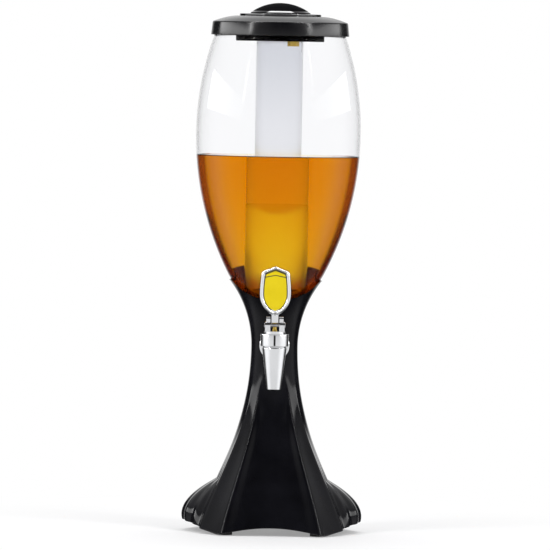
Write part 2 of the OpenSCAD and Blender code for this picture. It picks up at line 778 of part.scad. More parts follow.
// Shield outline, measured up from the pivot and drawn in by an inset
module shield_outline(inset) {
    crown_centre = shield_up + shield_top - shield_crown_r;
    intersection() {
        for_sides_meet(shield_side_r, inset);
        translate([0, crown_centre]) circle(r = shield_crown_r - inset);
        translate([-far / 2, shield_up]) square(far);
    }
    intersection() {
        for_sides_meet(shield_low_r, inset);
        translate([-far / 2, shield_up - far]) square(far);
    }
}
module for_sides_meet(r, inset) {
    intersection() {
        translate([r - shield_half, shield_up]) circle(r = r - inset);
        translate([shield_half - r, shield_up]) circle(r = r - inset);
    }
}
module on_shield() {
    translate([0, pivot_y, pivot_z]) rotate([shield_lean, 0, 0]) rotate([90, 0, 0]) children();
}
module tap_lever() {
    lug_top = shield_up - shield_low_r + lug_overlap;
    nose_y = pivot_y + pivot_fore;
    color("#d9dcde") difference() {
        union() {
            on_shield() translate([0, 0, -shield_t / 2]) linear_extrude(shield_t) shield_outline(0);
            on_shield() block([-lug_half, 0, -lug_half_d], [lug_half, lug_top, lug_front]);
            along_x(hub_r, -lug_half, lug_half, pivot_y, pivot_z);
            block([-lug_half, pivot_y, pivot_z - nose_r], [lug_half, nose_y, pivot_z + nose_r]);
            along_x(nose_r, -lug_half, lug_half, nose_y, pivot_z);
        }
        on_shield() translate([0, 0, shield_t / 2 - badge_t - badge_sink])
            linear_extrude(badge_t + badge_sink + 1) shield_outline(shield_rim);
        along_x(pin_r + running, -lug_half - 1, lug_half + 1, pivot_y, pivot_z);
        block([-stem_neck_r - 2 * slip, nose_y - stem_neck_r - 2 * slip, pivot_z - 2 * nose_r],
            [stem_neck_r + 2 * slip, nose_y + 2 * nose_r, pivot_z + 2 * nose_r]);
    }
}
module badge_plate() {
    color("#f4cf1e") on_shield() translate([0, 0, shield_t / 2 - badge_t - badge_sink])
        linear_extrude(badge_t) shield_outline(shield_rim + badge_gap);
}
module pivot_pin() {
    color("#c4c7c9") {
        along_x(pin_r, -ear_outer, ear_outer, pivot_y, pivot_z);
        along_x(pin_r + pin_head_rim, -ear_outer - pin_head_t, -ear_outer, pivot_y, pivot_z);
        along_x(pin_r + pin_head_rim, ear_outer, ear_outer + pin_head_t, pivot_y, pivot_z);
    }
}

module at_vent() {
    translate([vent_x, vent_y, 0]) children();
}
module lid() {
    pocket_inner = port_r + port_wall;
    pocket_outer = cap_r - 2;
    color("#161617") difference() {
        rotate_extrude() polygon([
            [band_inner_r, band_z], [band_r, band_z], [shoulder_r, shoulder_z - edge_round],
            [shoulder_r - edge_round, shoulder_z], [cap_r + slip, cap_seat_z], [port_r, cap_seat_z],
            [port_r, tube_lip_z], [tube_r + slip, tube_lip_z], [tube_r + slip, socket_z],
            [socket_r - 1, socket_z], [socket_r, socket_z + 1], [socket_r, lid_under_z],
            [band_inner_r - band_flare, lid_under_z]]);
        tube(pocket_outer, pocket_inner, socket_z + socket_floor_t, cap_seat_z + 1);
        at_vent() rod(vent_stem_r + running, socket_z - 1, socket_z + socket_floor_t + 1);
    }
}
module lid_gasket() {
    color("#e6e6e4") tube(mouth_r + 1, mouth_r - barrel_wall - 2, mouth_z, lid_under_z);
}
module ice_tube() {
    bottom_z = floor_z + barrel_wall + tube_clear;
    color("#eef2f3", 0.6) rotate_extrude() polygon([
        [0, bottom_z], [tube_r - tube_wall, bottom_z], [tube_r, bottom_z + tube_wall], [tube_r, tube_lip_z],
        [tube_r + tube_lip, tube_lip_z], [tube_r + tube_lip, tube_top_z], [tube_r - tube_wall, tube_top_z],
        [tube_r - tube_wall, bottom_z + tube_wall], [0, bottom_z + tube_wall]]);
}
module port_cap() {
    groove_z = (plug_z + cap_seat_z) / 2;
    color("#161617") difference() {
        union() {
            rod(cap_r, cap_seat_z, cap_top_z - cap_step);
            rod(cap_r - cap_step, cap_seat_z, cap_top_z);
            translate([0, 0, cap_top_z])
                cylinder(r1 = knob_r + knob_flare, r2 = knob_r, h = dome_z - cap_top_z);
            dome(dome_r, knob_r);
            tube(plug_r, plug_r - port_wall, plug_z, cap_seat_z + cap_step);
        }
        rod(knob_r - cap_wall, cap_seat_z - 1, dome_z);
        dome(dome_r - cap_wall, knob_r - cap_wall);
        tube(plug_r + 1, port_r - 2 * port_ring_r, groove_z - port_ring_r, groove_z + port_ring_r);
    }
}
module dome(r, edge) {
    intersection() {
        translate([0, 0, knob_top_z - dome_r]) sphere(r = r);
        rod(edge, dome_z - 0.5, knob_top_z + 1);
    }
}
module port_o_ring() {
    color("#e6e6e4") o_ring(port_r - port_ring_r, port_ring_r, (plug_z + cap_seat_z) / 2);
}
module vent_bush() {
    color("#c79a3a") at_vent() difference() {
        union() {
            hex_prism(vent_head_r, socket_z - vent_head_h, socket_z);
            rod(vent_stem_r, socket_z - 1, vent_top_z);
        }
        rod(vent_bore, socket_z - vent_head_h - 1, vent_top_z + 1);
    }
}
module vent_flap() {
    color("#e6e6e4") at_vent() {
        rod(vent_stem_r, vent_top_z, vent_top_z + flap_t);
        rod(vent_bore - running, vent_top_z - vent_stem_r, vent_top_z + flap_t);
    }
}

module transducer() {
    color("#b9bcc0") along_y(transducer_r, elbow_r, elbow_r + transducer_t, tap_z);
}
module transducer_lead() {
    color("#8a1f1a") wire(lead_path, [1, 0, 0], lead_r, lead_sides);
}
module driver_board() {
    top = board_z + board_t;
    mid_y = board_y + board_d / 2;
    low = top - solder_sink;
    color("#1f6b3a") {
        block([-board_w / 2, board_y, board_z], [board_w / 2, board_y + board_d, top]);
        block([-board_w / 3, mid_y - coil_w / 2, low],
            [-board_w / 3 + coil_w, mid_y + coil_w / 2, top + coil_h]);
        block([capacitor_r, mid_y - chip_w, low], [capacitor_r + chip_w, mid_y, top + chip_h]);
        translate([board_w / 3, mid_y + 2 * capacitor_r, 0]) rod(capacitor_r, low, top + capacitor_h);
    }
}
module battery_tray() {
    half_l = tray_l / 2;
    color("#232325") at_tray() difference() {
        block([-tray_half - tray_wall, -half_l - tray_wall, plate_top_z],
            [tray_half + tray_wall, half_l + tray_wall, tray_top_z]);
        block([-tray_half, -half_l, plate_top_z - 1], [tray_half, half_l, tray_top_z - tray_wall]);
    }
}
module battery_contacts() {
    half = tray_half - contact_inset;
    color("silver") at_tray() for (y = [-tray_l / 2, tray_l / 2 - contact_t])
        block([-half, y, cell_z - cell_r / 2], [half, y + contact_t, cell_z + cell_r / 2]);
}
module battery_cells() {
    color("#b8862b") at_tray() for (k = [-1:1])
        translate([k * cell_pitch, 0, 0]) along_y(cell_r, -cell_l / 2, cell_l / 2, cell_z);
}
module at_cover_screw() {
    at_tray() translate([0, -tray_l / 2 - tray_wall - 2 * cover_screw_r, 0]) children();
}
module cover_outline(gap) {
    translate([-tray_half - cover_lip + gap, -tray_l / 2 - cover_lip + gap])
        square([2 * (tray_half + cover_lip - gap), tray_l + 2 * (cover_lip - gap)]);
    translate([-cover_tab + gap, -tray_l / 2 - cover_tab + gap]) square([2 * (cover_tab - gap), cover_tab]);
}
module battery_cover() {
    color("#1b1b1c") difference() {
        at_tray() translate([0, 0, plate_z]) linear_extrude(cover_t) cover_outline(slip);
        at_cover_screw() rod(cover_screw_r + running, plate_z - 1, plate_z + cover_t + 1);
    }
}
module cover_screw() {
    color("silver") at_cover_screw() {
        rod(cover_screw_r - running, plate_z - cover_screw_head_t / 2, plate_top_z + 1);
        rod(2 * cover_screw_r, plate_z - cover_screw_head_t, plate_z);
    }
}
module switch_block(half_w, from, to, bottom, top) {
    block([switch_x - half_w, from, bottom], [switch_x + half_w, to, top]);
}
module switch_body() {
    slot_half_d = (slider_d + slider_travel) / 2 + slip;
    rim_half_d = switch_d / 2 + switch_rim;
    color("#2a2a2b") difference() {
        union() {
            switch_block(switch_w / 2, -switch_d / 2, switch_d / 2, plate_z, plate_z + switch_h);
            switch_block(switch_w / 2 + switch_rim, -rim_half_d, rim_half_d, plate_top_z,
                plate_top_z + switch_rim_t);
        }
        switch_block(slider_w / 2 + running, -slot_half_d, slot_half_d, plate_z - 1, plate_z + slider_in);
    }
}
module switch_slider() {
    from = -(slider_d + slider_travel) / 2;
    color("#d8d8d6")
        switch_block(slider_w / 2, from, from + slider_d, plate_z - slider_out, plate_z + slider_in);
}

base_skirt();
base_column();
bottom_plate();
rubber_feet();
tie_bolt();
tie_washer();
tie_nut();
barrel();
barrel_gasket();
barrel_locknut();
outlet_elbow();
elbow_o_ring();
tap_body();
shank_flange();
shank_seal();
shank_washer();
shank_nut();
tap_bonnet();
stem_o_ring();
valve_stem();
valve_plug();
return_spring();
tap_lever();
badge_plate();
pivot_pin();
lid();
lid_gasket();
ice_tube();
port_cap();
port_o_ring();
vent_bush();
vent_flap();
transducer();
transducer_lead();
driver_board();
battery_tray();
battery_contacts();
battery_cells();
battery_cover();
cover_screw();
switch_body();
switch_slider();
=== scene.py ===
# Table-top beer tower in a plain studio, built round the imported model
import math

import bmesh
import bpy
from mathutils import Matrix, Vector


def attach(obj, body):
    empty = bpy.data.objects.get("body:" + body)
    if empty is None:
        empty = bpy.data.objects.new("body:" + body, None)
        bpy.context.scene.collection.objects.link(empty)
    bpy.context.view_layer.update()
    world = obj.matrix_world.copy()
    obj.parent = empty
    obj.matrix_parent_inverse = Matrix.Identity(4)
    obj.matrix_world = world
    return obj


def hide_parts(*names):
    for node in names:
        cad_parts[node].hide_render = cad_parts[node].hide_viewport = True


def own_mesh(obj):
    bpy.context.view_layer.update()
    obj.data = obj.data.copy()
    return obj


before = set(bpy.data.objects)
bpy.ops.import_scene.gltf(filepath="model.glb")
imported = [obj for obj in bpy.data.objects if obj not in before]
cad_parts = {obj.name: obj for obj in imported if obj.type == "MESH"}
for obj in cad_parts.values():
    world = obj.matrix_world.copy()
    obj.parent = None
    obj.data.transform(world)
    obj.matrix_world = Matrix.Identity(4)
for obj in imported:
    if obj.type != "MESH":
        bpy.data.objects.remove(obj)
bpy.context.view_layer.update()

MM = 0.001
scene = bpy.context.scene
scene.view_settings.view_transform = "Standard"
scene.cycles.max_bounces = 32
scene.cycles.transmission_bounces = 32

# Main sizes of the solids, in millimetres
SKIRT_H = 168.0
FOOT_R = 92.0
RIDGE_HALF = 34.5
LANDING = RIDGE_HALF + 3.0
LEG_HALF = 45.0 - RIDGE_HALF
GROOVE = 1.6
RECESS = 1.8
RECESS_ANGLE = 9.0
LIP = 0.25
LIP_H = 4.0
RIB = 2.2
RIB_TOP = 90.0
RIB_PITCH = RIDGE_HALF / 3
SIDE_CROWN = 2.9
SIDE_SWELL = 21.5
SWELL_Z = 24.0
SWELL_SPAN = 30.0
SWELL_POWER = 1.3
FACET_START = 0.5
ARCH_H = 10.0
FRONT_ARCH_H = 7.5
EDGE_LIFT = 0.6
SKIRT_WALL = 3.4
WAIST_R = 24.0
WAIST_Z = 191.0
FLARE_R = 296.0
FLOOR_Z = 239.0
CUP_Z = 237.0
CUP_GAP = 0.4
COLLAR_WALL = 1.8
RIM_R = 62.0
TIP_Z = 259.5
BACK_START = 15.0
BACK_RISE = math.tan(math.radians(32.0))
BARREL_R = 85.0
BARREL_WALL = 2.5
BELLY_Z = 410.0
MOUTH_Z = 521.0
UPPER_R = 305.0
LOWER_R = 312.0
FLAT_R = 20.0
NECK_R = 14.0
NECK_BORE = 10.0
NECK_Z = 207.0
TAP_Z = 193.0
TAP_Y = -50.0
PIVOT_Y = -57.0
PIVOT_Z = 215.2
BEER_Z = 387.0

# Barrel: a bowl on the axis, tangent to the lower arc
LOWER_X = BARREL_R - LOWER_R
BELLY_UP = BELLY_Z - FLOOR_Z
BOWL_SLOPE = BELLY_UP / LOWER_R
BOWL_BASE = (LOWER_R ** 2 + FLAT_R ** 2 - LOWER_X ** 2 - BELLY_UP ** 2) / (2 * LOWER_R)
BOWL_TILT = 1 - BOWL_SLOPE ** 2
BOWL_RISE = (BOWL_BASE * BOWL_SLOPE + math.sqrt((BOWL_BASE * BOWL_SLOPE) ** 2
             - BOWL_TILT * (FLAT_R ** 2 - BOWL_BASE ** 2))) / BOWL_TILT
BOWL_R = BOWL_BASE + BOWL_SLOPE * BOWL_RISE
BOWL_CENTRE_Z = FLOOR_Z + BOWL_RISE
BOWL_Z = BOWL_CENTRE_Z + BOWL_R * (BOWL_CENTRE_Z - BELLY_Z) / (LOWER_R - BOWL_R)
TIP_R = math.sqrt(BOWL_R ** 2 - (BOWL_CENTRE_Z - TIP_Z) ** 2) + CUP_GAP + COLLAR_WALL
TRUMPET_R = ((TIP_R - WAIST_R) ** 2 + (TIP_Z - WAIST_Z) ** 2) / (2 * (TIP_R - WAIST_R))


# Small helpers for profiles and meshes
def smooth(x):
    c = min(max(x, 0.0), 1.0)
    return c * c * (3 - 2 * c)


def spread(start, end, steps):
    return [start + (end - start) * k / steps for k in range(steps + 1)]


def barrel_r(z, inset=0.0):
    bowl_end = BOWL_CENTRE_Z - (BOWL_R - inset) * (BOWL_CENTRE_Z - BOWL_Z) / BOWL_R
    if z >= BELLY_Z:
        return BARREL_R - UPPER_R + math.sqrt((UPPER_R - inset) ** 2 - (z - BELLY_Z) ** 2)
    if z >= bowl_end:
        return LOWER_X + math.sqrt((LOWER_R - inset) ** 2 - (BELLY_Z - z) ** 2)
    return math.sqrt(max((BOWL_R - inset) ** 2 - (BOWL_CENTRE_Z - z) ** 2, 0.0))


def column_r(z):
    if z < WAIST_Z:
        return WAIST_R + FLARE_R - math.sqrt(FLARE_R ** 2 - (WAIST_Z - z) ** 2)
    if z > TIP_Z:
        return barrel_r(z, -CUP_GAP - COLLAR_WALL)
    return WAIST_R + TRUMPET_R - math.sqrt(TRUMPET_R ** 2 - (z - WAIST_Z) ** 2)


def fillet(points, radii, steps=5):
    """A closed outline with its corners rounded."""
    out = []
    count = len(points)
    for i, (point, radius) in enumerate(zip(points, radii)):
        here = Vector(point)
        back = Vector(points[i - 1]) - here
        ahead = Vector(points[(i + 1) % count]) - here
        turn = back.angle(ahead, 0.0) if back.length and ahead.length else 0.0
        if radius <= 0 or turn < 1e-3 or abs(turn - math.pi) < 1e-3:
            out.append(tuple(here))
            continue
        reach = min(radius / math.tan(turn / 2), 0.49 * back.length, 0.49 * ahead.length)
        start = here + back.normalized() * reach
        end = here + ahead.normalized() * reach
        for k in range(steps + 1):
            t = k / steps
            out.append(tuple((1 - t) ** 2 * start + 2 * t * (1 - t) * here + t * t * end))
    return out


def revolve(profile, steps=144):
    """A closed (radius, height) profile turned about Z, as points and faces."""
    points = []
    rows = []
    for r, z in profile:
        if r < 1e-6:
            rows.append([len(points)] * steps)
            points.append((0.0, 0.0, z))
            continue
        rows.append(list(range(len(points), len(points) + steps)))
        for k in range(steps):
            turn = 2 * math.pi * k / steps
            points.append((r * math.sin(turn), -r * math.cos(turn), z))
    faces = []
    for i, row in enumerate(rows):
        after = rows[(i + 1) % len(rows)]
        for k in range(steps):
            n = (k + 1) % steps
            loop = [row[k], row[n], after[n], after[k]]
            loop = [p for j, p in enumerate(loop) if p != loop[j - 1]]
            if len(loop) > 2:
                faces.append(loop)
    return points, faces


def loft(rings):
    """Closed rings joined in order, and the last joined to the first."""
    size = len(rings[0])
    points = [p for ring in rings for p in ring]
    faces = []
    for i in range(len(rings)):
        a = i * size
        b = (i + 1) % len(rings) * size
        for k in range(size):
            n = (k + 1) % size
            faces.append([a + k, a + n, b + n, b + k])
    return points, faces


def capped(rings):
    """Closed rings joined in order, with a flat face at each end."""
    size = len(rings[0])
    points = [p for ring in rings for p in ring]
    faces = []
    for i in range(len(rings) - 1):
        for k in range(size):
            n = (k + 1) % size
            faces.append([i * size + k, i * size + n, (i + 1) * size + n, (i + 1) * size + k])
    faces.append(list(range(size))[::-1])
    faces.append(list(range((len(rings) - 1) * size, len(rings) * size)))
    return points, faces


def box_shape(low, high):
    corners = ((low[0], low[1]), (high[0], low[1]), (high[0], high[1]), (low[0], high[1]))
    return capped([[(x, y, z) for x, y in corners] for z in (low[2], high[2])])


def placed(shape, matrix):
    points, faces = shape
    return [tuple(matrix @ Vector(p)) for p in points], faces


def joined(first, second):
    offset = len(first[0])
    return first[0] + second[0], first[1] + [[p + offset for p in face] for face in second[1]]


def raw_object(name, shape, turn_faces=True, bevel=0.0):
    points, faces = shape
    mesh = bpy.data.meshes.new(name)
    mesh.from_pydata([Vector(p) * MM for p in points], [], faces)
    work = bmesh.new()
    work.from_mesh(mesh)
    if turn_faces:
        bmesh.ops.recalc_face_normals(work, faces=work.faces)
    if bevel:
        bmesh.ops.bevel(work, geom=work.edges[:], offset=bevel * MM, segments=2, profile=0.6,
                        affect="EDGES", clamp_overlap=True)
    work.to_mesh(mesh)
    work.free()
    obj = bpy.data.objects.new(name, mesh)
    scene.collection.objects.link(obj)
    return obj


def combine(obj, tool, operation):
    """Joins or cuts obj with tool for good, and removes tool."""
    modifier = obj.modifiers.new("combine", "BOOLEAN")
    modifier.operation = operation
    modifier.solver = "EXACT"
    modifier.object = tool
    graph = bpy.context.evaluated_depsgraph_get()
    mesh = bpy.data.meshes.new_from_object(obj.evaluated_get(graph))
    mesh.validate()
    obj.modifiers.clear()
    obj.data = mesh
    bpy.data.objects.remove(tool)
    return obj


def dress(obj, material, sharp=32.0):
    obj.data.materials.clear()
    obj.data.materials.append(material)
    for face in obj.data.polygons:
        face.use_smooth = True
    obj.data.set_sharp_from_angle(angle=math.radians(sharp))
    return obj


def paint(obj, material, test):
    """Gives another material to the faces whose middle, in millimetres, passes the test."""
    obj.data.materials.append(material)
    index = len(obj.data.materials) - 1
    for face in obj.data.polygons:
        if test(face.center / MM):
            face.material_index = index


def piece(obj, body, material, nodes=(), sharp=32.0):
    dress(obj, material, sharp)
    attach(obj, body)
    if nodes:
        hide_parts(*nodes)
    return obj


# Materials
def shader(name, **sockets):
    material = bpy.data.materials.new(name)
    material.use_nodes = True
    bsdf = material.node_tree.nodes["Principled BSDF"]
    for socket, value in sockets.items():
        bsdf.inputs[socket.replace("_", " ")].default_value = value
    return material, material.node_tree, bsdf


def noise(tree, scale, detail=3.0, stretch=(1.0, 1.0, 1.0)):
    coords = tree.nodes.new("ShaderNodeTexCoord")
    mapping = tree.nodes.new("ShaderNodeMapping")
    mapping.inputs["Scale"].default_value = stretch
    texture = tree.nodes.new("ShaderNodeTexNoise")
    texture.inputs["Scale"].default_value = scale
    texture.inputs["Detail"].default_value = detail
    tree.links.new(coords.outputs["Object"], mapping.inputs["Vector"])
    tree.links.new(mapping.outputs["Vector"], texture.inputs["Vector"])
    return texture.outputs["Fac"]


def ranged(tree, value, low, high):
    node = tree.nodes.new("ShaderNodeMapRange")
    node.inputs["From Min"].default_value = 0.3
    node.inputs["From Max"].default_value = 0.7
    node.inputs["To Min"].default_value = low
    node.inputs["To Max"].default_value = high
    tree.links.new(value, node.inputs["Value"])
    return node.outputs["Result"]


def bump(tree, bsdf, height, strength, distance=0.0002):
    node = tree.nodes.new("ShaderNodeBump")
    node.inputs["Strength"].default_value = strength
    node.inputs["Distance"].default_value = distance
    tree.links.new(height, node.inputs["Height"])
    tree.links.new(node.outputs["Normal"], bsdf.inputs["Normal"])


def tinted(tree, bsdf, value, low, high):
    ramp = tree.nodes.new("ShaderNodeValToRGB")
    ramp.color_ramp.elements[0].position = 0.3
    ramp.color_ramp.elements[0].color = (*low, 1.0)
    ramp.color_ramp.elements[1].position = 0.7
    ramp.color_ramp.elements[1].color = (*high, 1.0)
    tree.links.new(value, ramp.inputs["Fac"])
    tree.links.new(ramp.outputs["Color"], bsdf.inputs["Base Color"])


def finished(name, low, high, rough, scale=60.0, grain=0.0, grain_scale=900.0, stretch=(1, 1, 1),
             **sockets):
    """A material whose colour and gloss vary a little, with a fine grain."""
    material, tree, bsdf = shader(name, **sockets)
    value = noise(tree, scale, 3.0, stretch)
    tinted(tree, bsdf, value, low, high)
    tree.links.new(ranged(tree, value, *rough), bsdf.inputs["Roughness"])
    if grain:
        bump(tree, bsdf, noise(tree, grain_scale, 2.0, stretch), grain)
    return material


black_gloss = finished("black_gloss", (0.003, 0.003, 0.004), (0.006, 0.006, 0.008), (0.08, 0.13),
                       scale=35.0, grain=0.03, grain_scale=260.0, Specular_IOR_Level=0.13)
lid_black = finished("lid_black", (0.004, 0.004, 0.005), (0.007, 0.007, 0.008), (0.16, 0.24),
                     scale=35.0, grain=0.04, grain_scale=420.0, Specular_IOR_Level=0.3)
cap_black = finished("cap_black", (0.003, 0.003, 0.004), (0.006, 0.006, 0.007), (0.04, 0.08),
                     scale=35.0, grain=0.02, grain_scale=420.0, Specular_IOR_Level=0.8)
# A darker, nearly unreflecting copy of the black plastic, used as painted shade
black_painted_shade = finished("black_painted_shade", (0.0015, 0.0015, 0.002), (0.0025, 0.0025, 0.003), (0.45, 0.6),
                      scale=35.0, grain=0.1, grain_scale=420.0, IOR=1.04)
black_matt = finished("black_matt", (0.012, 0.012, 0.013), (0.022, 0.022, 0.023), (0.5, 0.65), grain=0.2)
rubber = finished("rubber", (0.018, 0.018, 0.018), (0.03, 0.03, 0.03), (0.7, 0.85), grain=0.3)
steel = finished("steel", (0.52, 0.52, 0.53), (0.64, 0.64, 0.65), (0.25, 0.4), scale=200.0, grain=0.08,
                 stretch=(1, 1, 0.1), Metallic=1.0)
chrome = finished("chrome", (0.84, 0.85, 0.87), (0.90, 0.91, 0.93), (0.14, 0.22), scale=90.0, Metallic=1.0)
brass = finished("brass", (0.40, 0.27, 0.05), (0.54, 0.38, 0.09), (0.25, 0.4), scale=160.0, grain=0.05,
                 Metallic=1.0)
silicone = finished("silicone", (0.74, 0.74, 0.72), (0.82, 0.82, 0.80), (0.4, 0.5), grain=0.05)
red_lead = finished("red_lead", (0.30, 0.02, 0.015), (0.40, 0.03, 0.02), (0.35, 0.5))
board_green = finished("board_green", (0.012, 0.15, 0.05), (0.02, 0.22, 0.08), (0.3, 0.45), scale=300.0)
cell_wrap = finished("cell_wrap", (0.44, 0.27, 0.04), (0.54, 0.34, 0.06), (0.2, 0.3), scale=120.0)
white_matt = finished("white_matt", (0.72, 0.72, 0.70), (0.80, 0.80, 0.78), (0.4, 0.55), grain=0.1)
yellow_gloss = finished("yellow_gloss", (0.73, 0.56, 0.004), (0.77, 0.60, 0.008), (0.3, 0.38), scale=120.0,
                        Specular_IOR_Level=0.2)


# Values that vary over a material or the world
def stepped(tree, value, low, high, start=0.0, end=1.0):
    """A smooth step of a value, from start below low to end above high."""
    node = tree.nodes.new("ShaderNodeMapRange")
    node.interpolation_type = "SMOOTHSTEP"
    for socket, number in zip(("From Min", "From Max", "To Min", "To Max"), (low, high, start, end)):
        node.inputs[socket].default_value = number
    tree.links.new(value, node.inputs["Value"])
    return node.outputs["Result"]


def height_of(tree):
    """Height of a point, in metres."""
    coords = tree.nodes.new("ShaderNodeTexCoord")
    split = tree.nodes.new("ShaderNodeSeparateXYZ")
    tree.links.new(coords.outputs["Object"], split.inputs["Vector"])
    return split.outputs["Z"]


def combined(tree, operation, *values):
    """The result of a math operation on values, each a plain number or a node's output."""
    node = tree.nodes.new("ShaderNodeMath")
    node.operation = operation
    for socket, value in zip(node.inputs, values):
        if isinstance(value, (int, float)):
            socket.default_value = value
        else:
            tree.links.new(value, socket)
    return node.outputs["Value"]


def product(tree, a, b):
    return combined(tree, "MULTIPLY", a, b)


def larger(tree, a, b):
    return combined(tree, "MAXIMUM", a, b)


def mixed(tree, share, low, high):
    """A colour from low to high; each is a plain colour or another colour's output."""
    node = tree.nodes.new("ShaderNodeMix")
    node.data_type = "RGBA"
    tree.links.new(share, node.inputs[0])
    for socket, colour in ((node.inputs[6], low), (node.inputs[7], high)):
        if isinstance(colour, tuple):
            socket.default_value = (*colour, 1.0)
        else:
            tree.links.new(colour, socket)
    return node.outputs[2]


def turned_away(tree, low, high, start=0.0, end=1.0):
    facing = tree.nodes.new("ShaderNodeLayerWeight")
    facing.inputs["Blend"].default_value = 0.5
    return stepped(tree, facing.outputs["Facing"], low, high, start, end)


# Clear barrel: painted shade greys its edges, and turns them amber, then brown, where beer stands behind
# the wall, darker lower down
PLASTIC_IOR = 1.49
DULL_SHINE = (0.06, 0.06, 0.06, 1.0)
CLEAR_DRY = (0.975, 0.977, 0.985)
CLEAR_WET = (0.985, 0.988, 0.99)
GREY_EDGE_SHADE = (0.72, 0.73, 0.75)
AMBER_SIDE_SHADE = (0.66, 0.50, 0.64)
BROWN_SHADE_LOW = (0.07, 0.025, 0.018)
BROWN_SHADE_HIGH = (0.21, 0.055, 0.015)
clear_plastic, clear_tree, clear_bsdf = shader("clear_plastic", Roughness=0.0, IOR=PLASTIC_IOR,
                                               Transmission_Weight=1.0, Specular_Tint=DULL_SHINE)
clear_z = height_of(clear_tree)
dry = stepped(clear_tree, clear_z, 0.3865, 0.3885)
# The grey, amber and brown towards the edges are painted shade, not the plastic's own colour
air_colour_and_shade = mixed(clear_tree, turned_away(clear_tree, 0.7, 0.97), CLEAR_DRY, GREY_EDGE_SHADE)
wet_side_shade = mixed(clear_tree, turned_away(clear_tree, 0.12, 0.45), CLEAR_WET, AMBER_SIDE_SHADE)
wet_edge_shade = mixed(clear_tree, stepped(clear_tree, clear_z, 0.29, 0.34), BROWN_SHADE_LOW, BROWN_SHADE_HIGH)
wet_colour_and_shade = mixed(clear_tree, turned_away(clear_tree, 0.50, 0.60), wet_side_shade, wet_edge_shade)
clear_tree.links.new(mixed(clear_tree, dry, wet_colour_and_shade, air_colour_and_shade), clear_bsdf.inputs["Base Color"])

# Frosted tube: greyer above the beer. Its lower end leans the light upward, like the cuts of a prism
FROST_IOR = 1.12
FROST_WET = (0.985, 0.985, 0.985)
FROST_DRY = (0.92, 0.922, 0.937)
FROST_TOP = (0.83, 0.84, 0.867)
PRISM = 0.36
frosted, frosted_tree, frosted_bsdf = shader("frosted_plastic", IOR=FROST_IOR, Transmission_Weight=1.0)
frosted_z = height_of(frosted_tree)
frost_air = mixed(frosted_tree, stepped(frosted_tree, frosted_z, 0.40, 0.52), FROST_DRY, FROST_TOP)
frost = mixed(frosted_tree, stepped(frosted_tree, frosted_z, 0.384, 0.392), FROST_WET, frost_air)
frosted_tree.links.new(frost, frosted_bsdf.inputs["Base Color"])
frosted_tree.links.new(ranged(frosted_tree, noise(frosted_tree, 40.0, 3.0, (1, 1, 0.2)), 0.26, 0.36),
                       frosted_bsdf.inputs["Roughness"])
geometry = frosted_tree.nodes.new("ShaderNodeNewGeometry")
lean = stepped(frosted_tree, geometry.outputs["Backfacing"], 0.0, 1.0, -PRISM, PRISM)
lean = product(frosted_tree, lean, stepped(frosted_tree, frosted_z, 0.285, 0.312, 1.0, 0.0))
lean = product(frosted_tree, lean, turned_away(frosted_tree, 0.2, 0.7, 1.0, 0.3))
lean_vector = frosted_tree.nodes.new("ShaderNodeCombineXYZ")
leaning = frosted_tree.nodes.new("ShaderNodeVectorMath")
leaning.operation = "ADD"
unit = frosted_tree.nodes.new("ShaderNodeVectorMath")
unit.operation = "NORMALIZE"
frosted_tree.links.new(lean, lean_vector.inputs["Z"])
frosted_tree.links.new(geometry.outputs["Normal"], leaning.inputs[0])
frosted_tree.links.new(lean_vector.outputs["Vector"], leaning.inputs[1])
frosted_tree.links.new(leaning.outputs["Vector"], unit.inputs[0])
frosted_tree.links.new(unit.outputs["Vector"], frosted_bsdf.inputs["Normal"])


# Beer: paler round the tube's lower end, a lighter copy of the beer that is painted light round the frosted
# tube
BEER_IOR = 1.34


def brew(name, colour, density):
    material, tree, bsdf = shader(name, Roughness=0.0, IOR=BEER_IOR, Transmission_Weight=1.0,
                                  Specular_Tint=DULL_SHINE)
    tinted(tree, bsdf, noise(tree, 30.0, 3.0, (1, 1, 0.3)), (0.985, 0.985, 0.98), (1.0, 1.0, 1.0))
    absorb = tree.nodes.new("ShaderNodeVolumeAbsorption")
    absorb.inputs["Color"].default_value = (*colour, 1.0)
    absorb.inputs["Density"].default_value = density
    tree.links.new(absorb.outputs["Volume"], tree.nodes["Material Output"].inputs["Volume"])
    return material


beer_material = brew("beer", (0.965, 0.833, 0.0), 60.0)
beer_painted_light = brew("beer_painted_light", (1.0, 0.98, 0.6), 20.0)


# Skirt: close to the solid's surface, with softened ridges, a lip along the edge and a rounded rim
def ridge_r(z):
    t = 1 - z / SKIRT_H
    top = column_r(SKIRT_H)
    start = SKIRT_H * (WAIST_Z - SKIRT_H) / FLARE_R
    return top + (FOOT_R - top) * (2.05 * t * t - 1.05 * t ** 3) + start * t * (1 - t) ** 6


def folded(angle):
    angle = abs(angle) % 180.0
    return 180.0 - angle if angle > 90.0 else angle


def chord(half, angle):
    return math.cos(math.radians(half)) / math.cos(math.radians(angle))


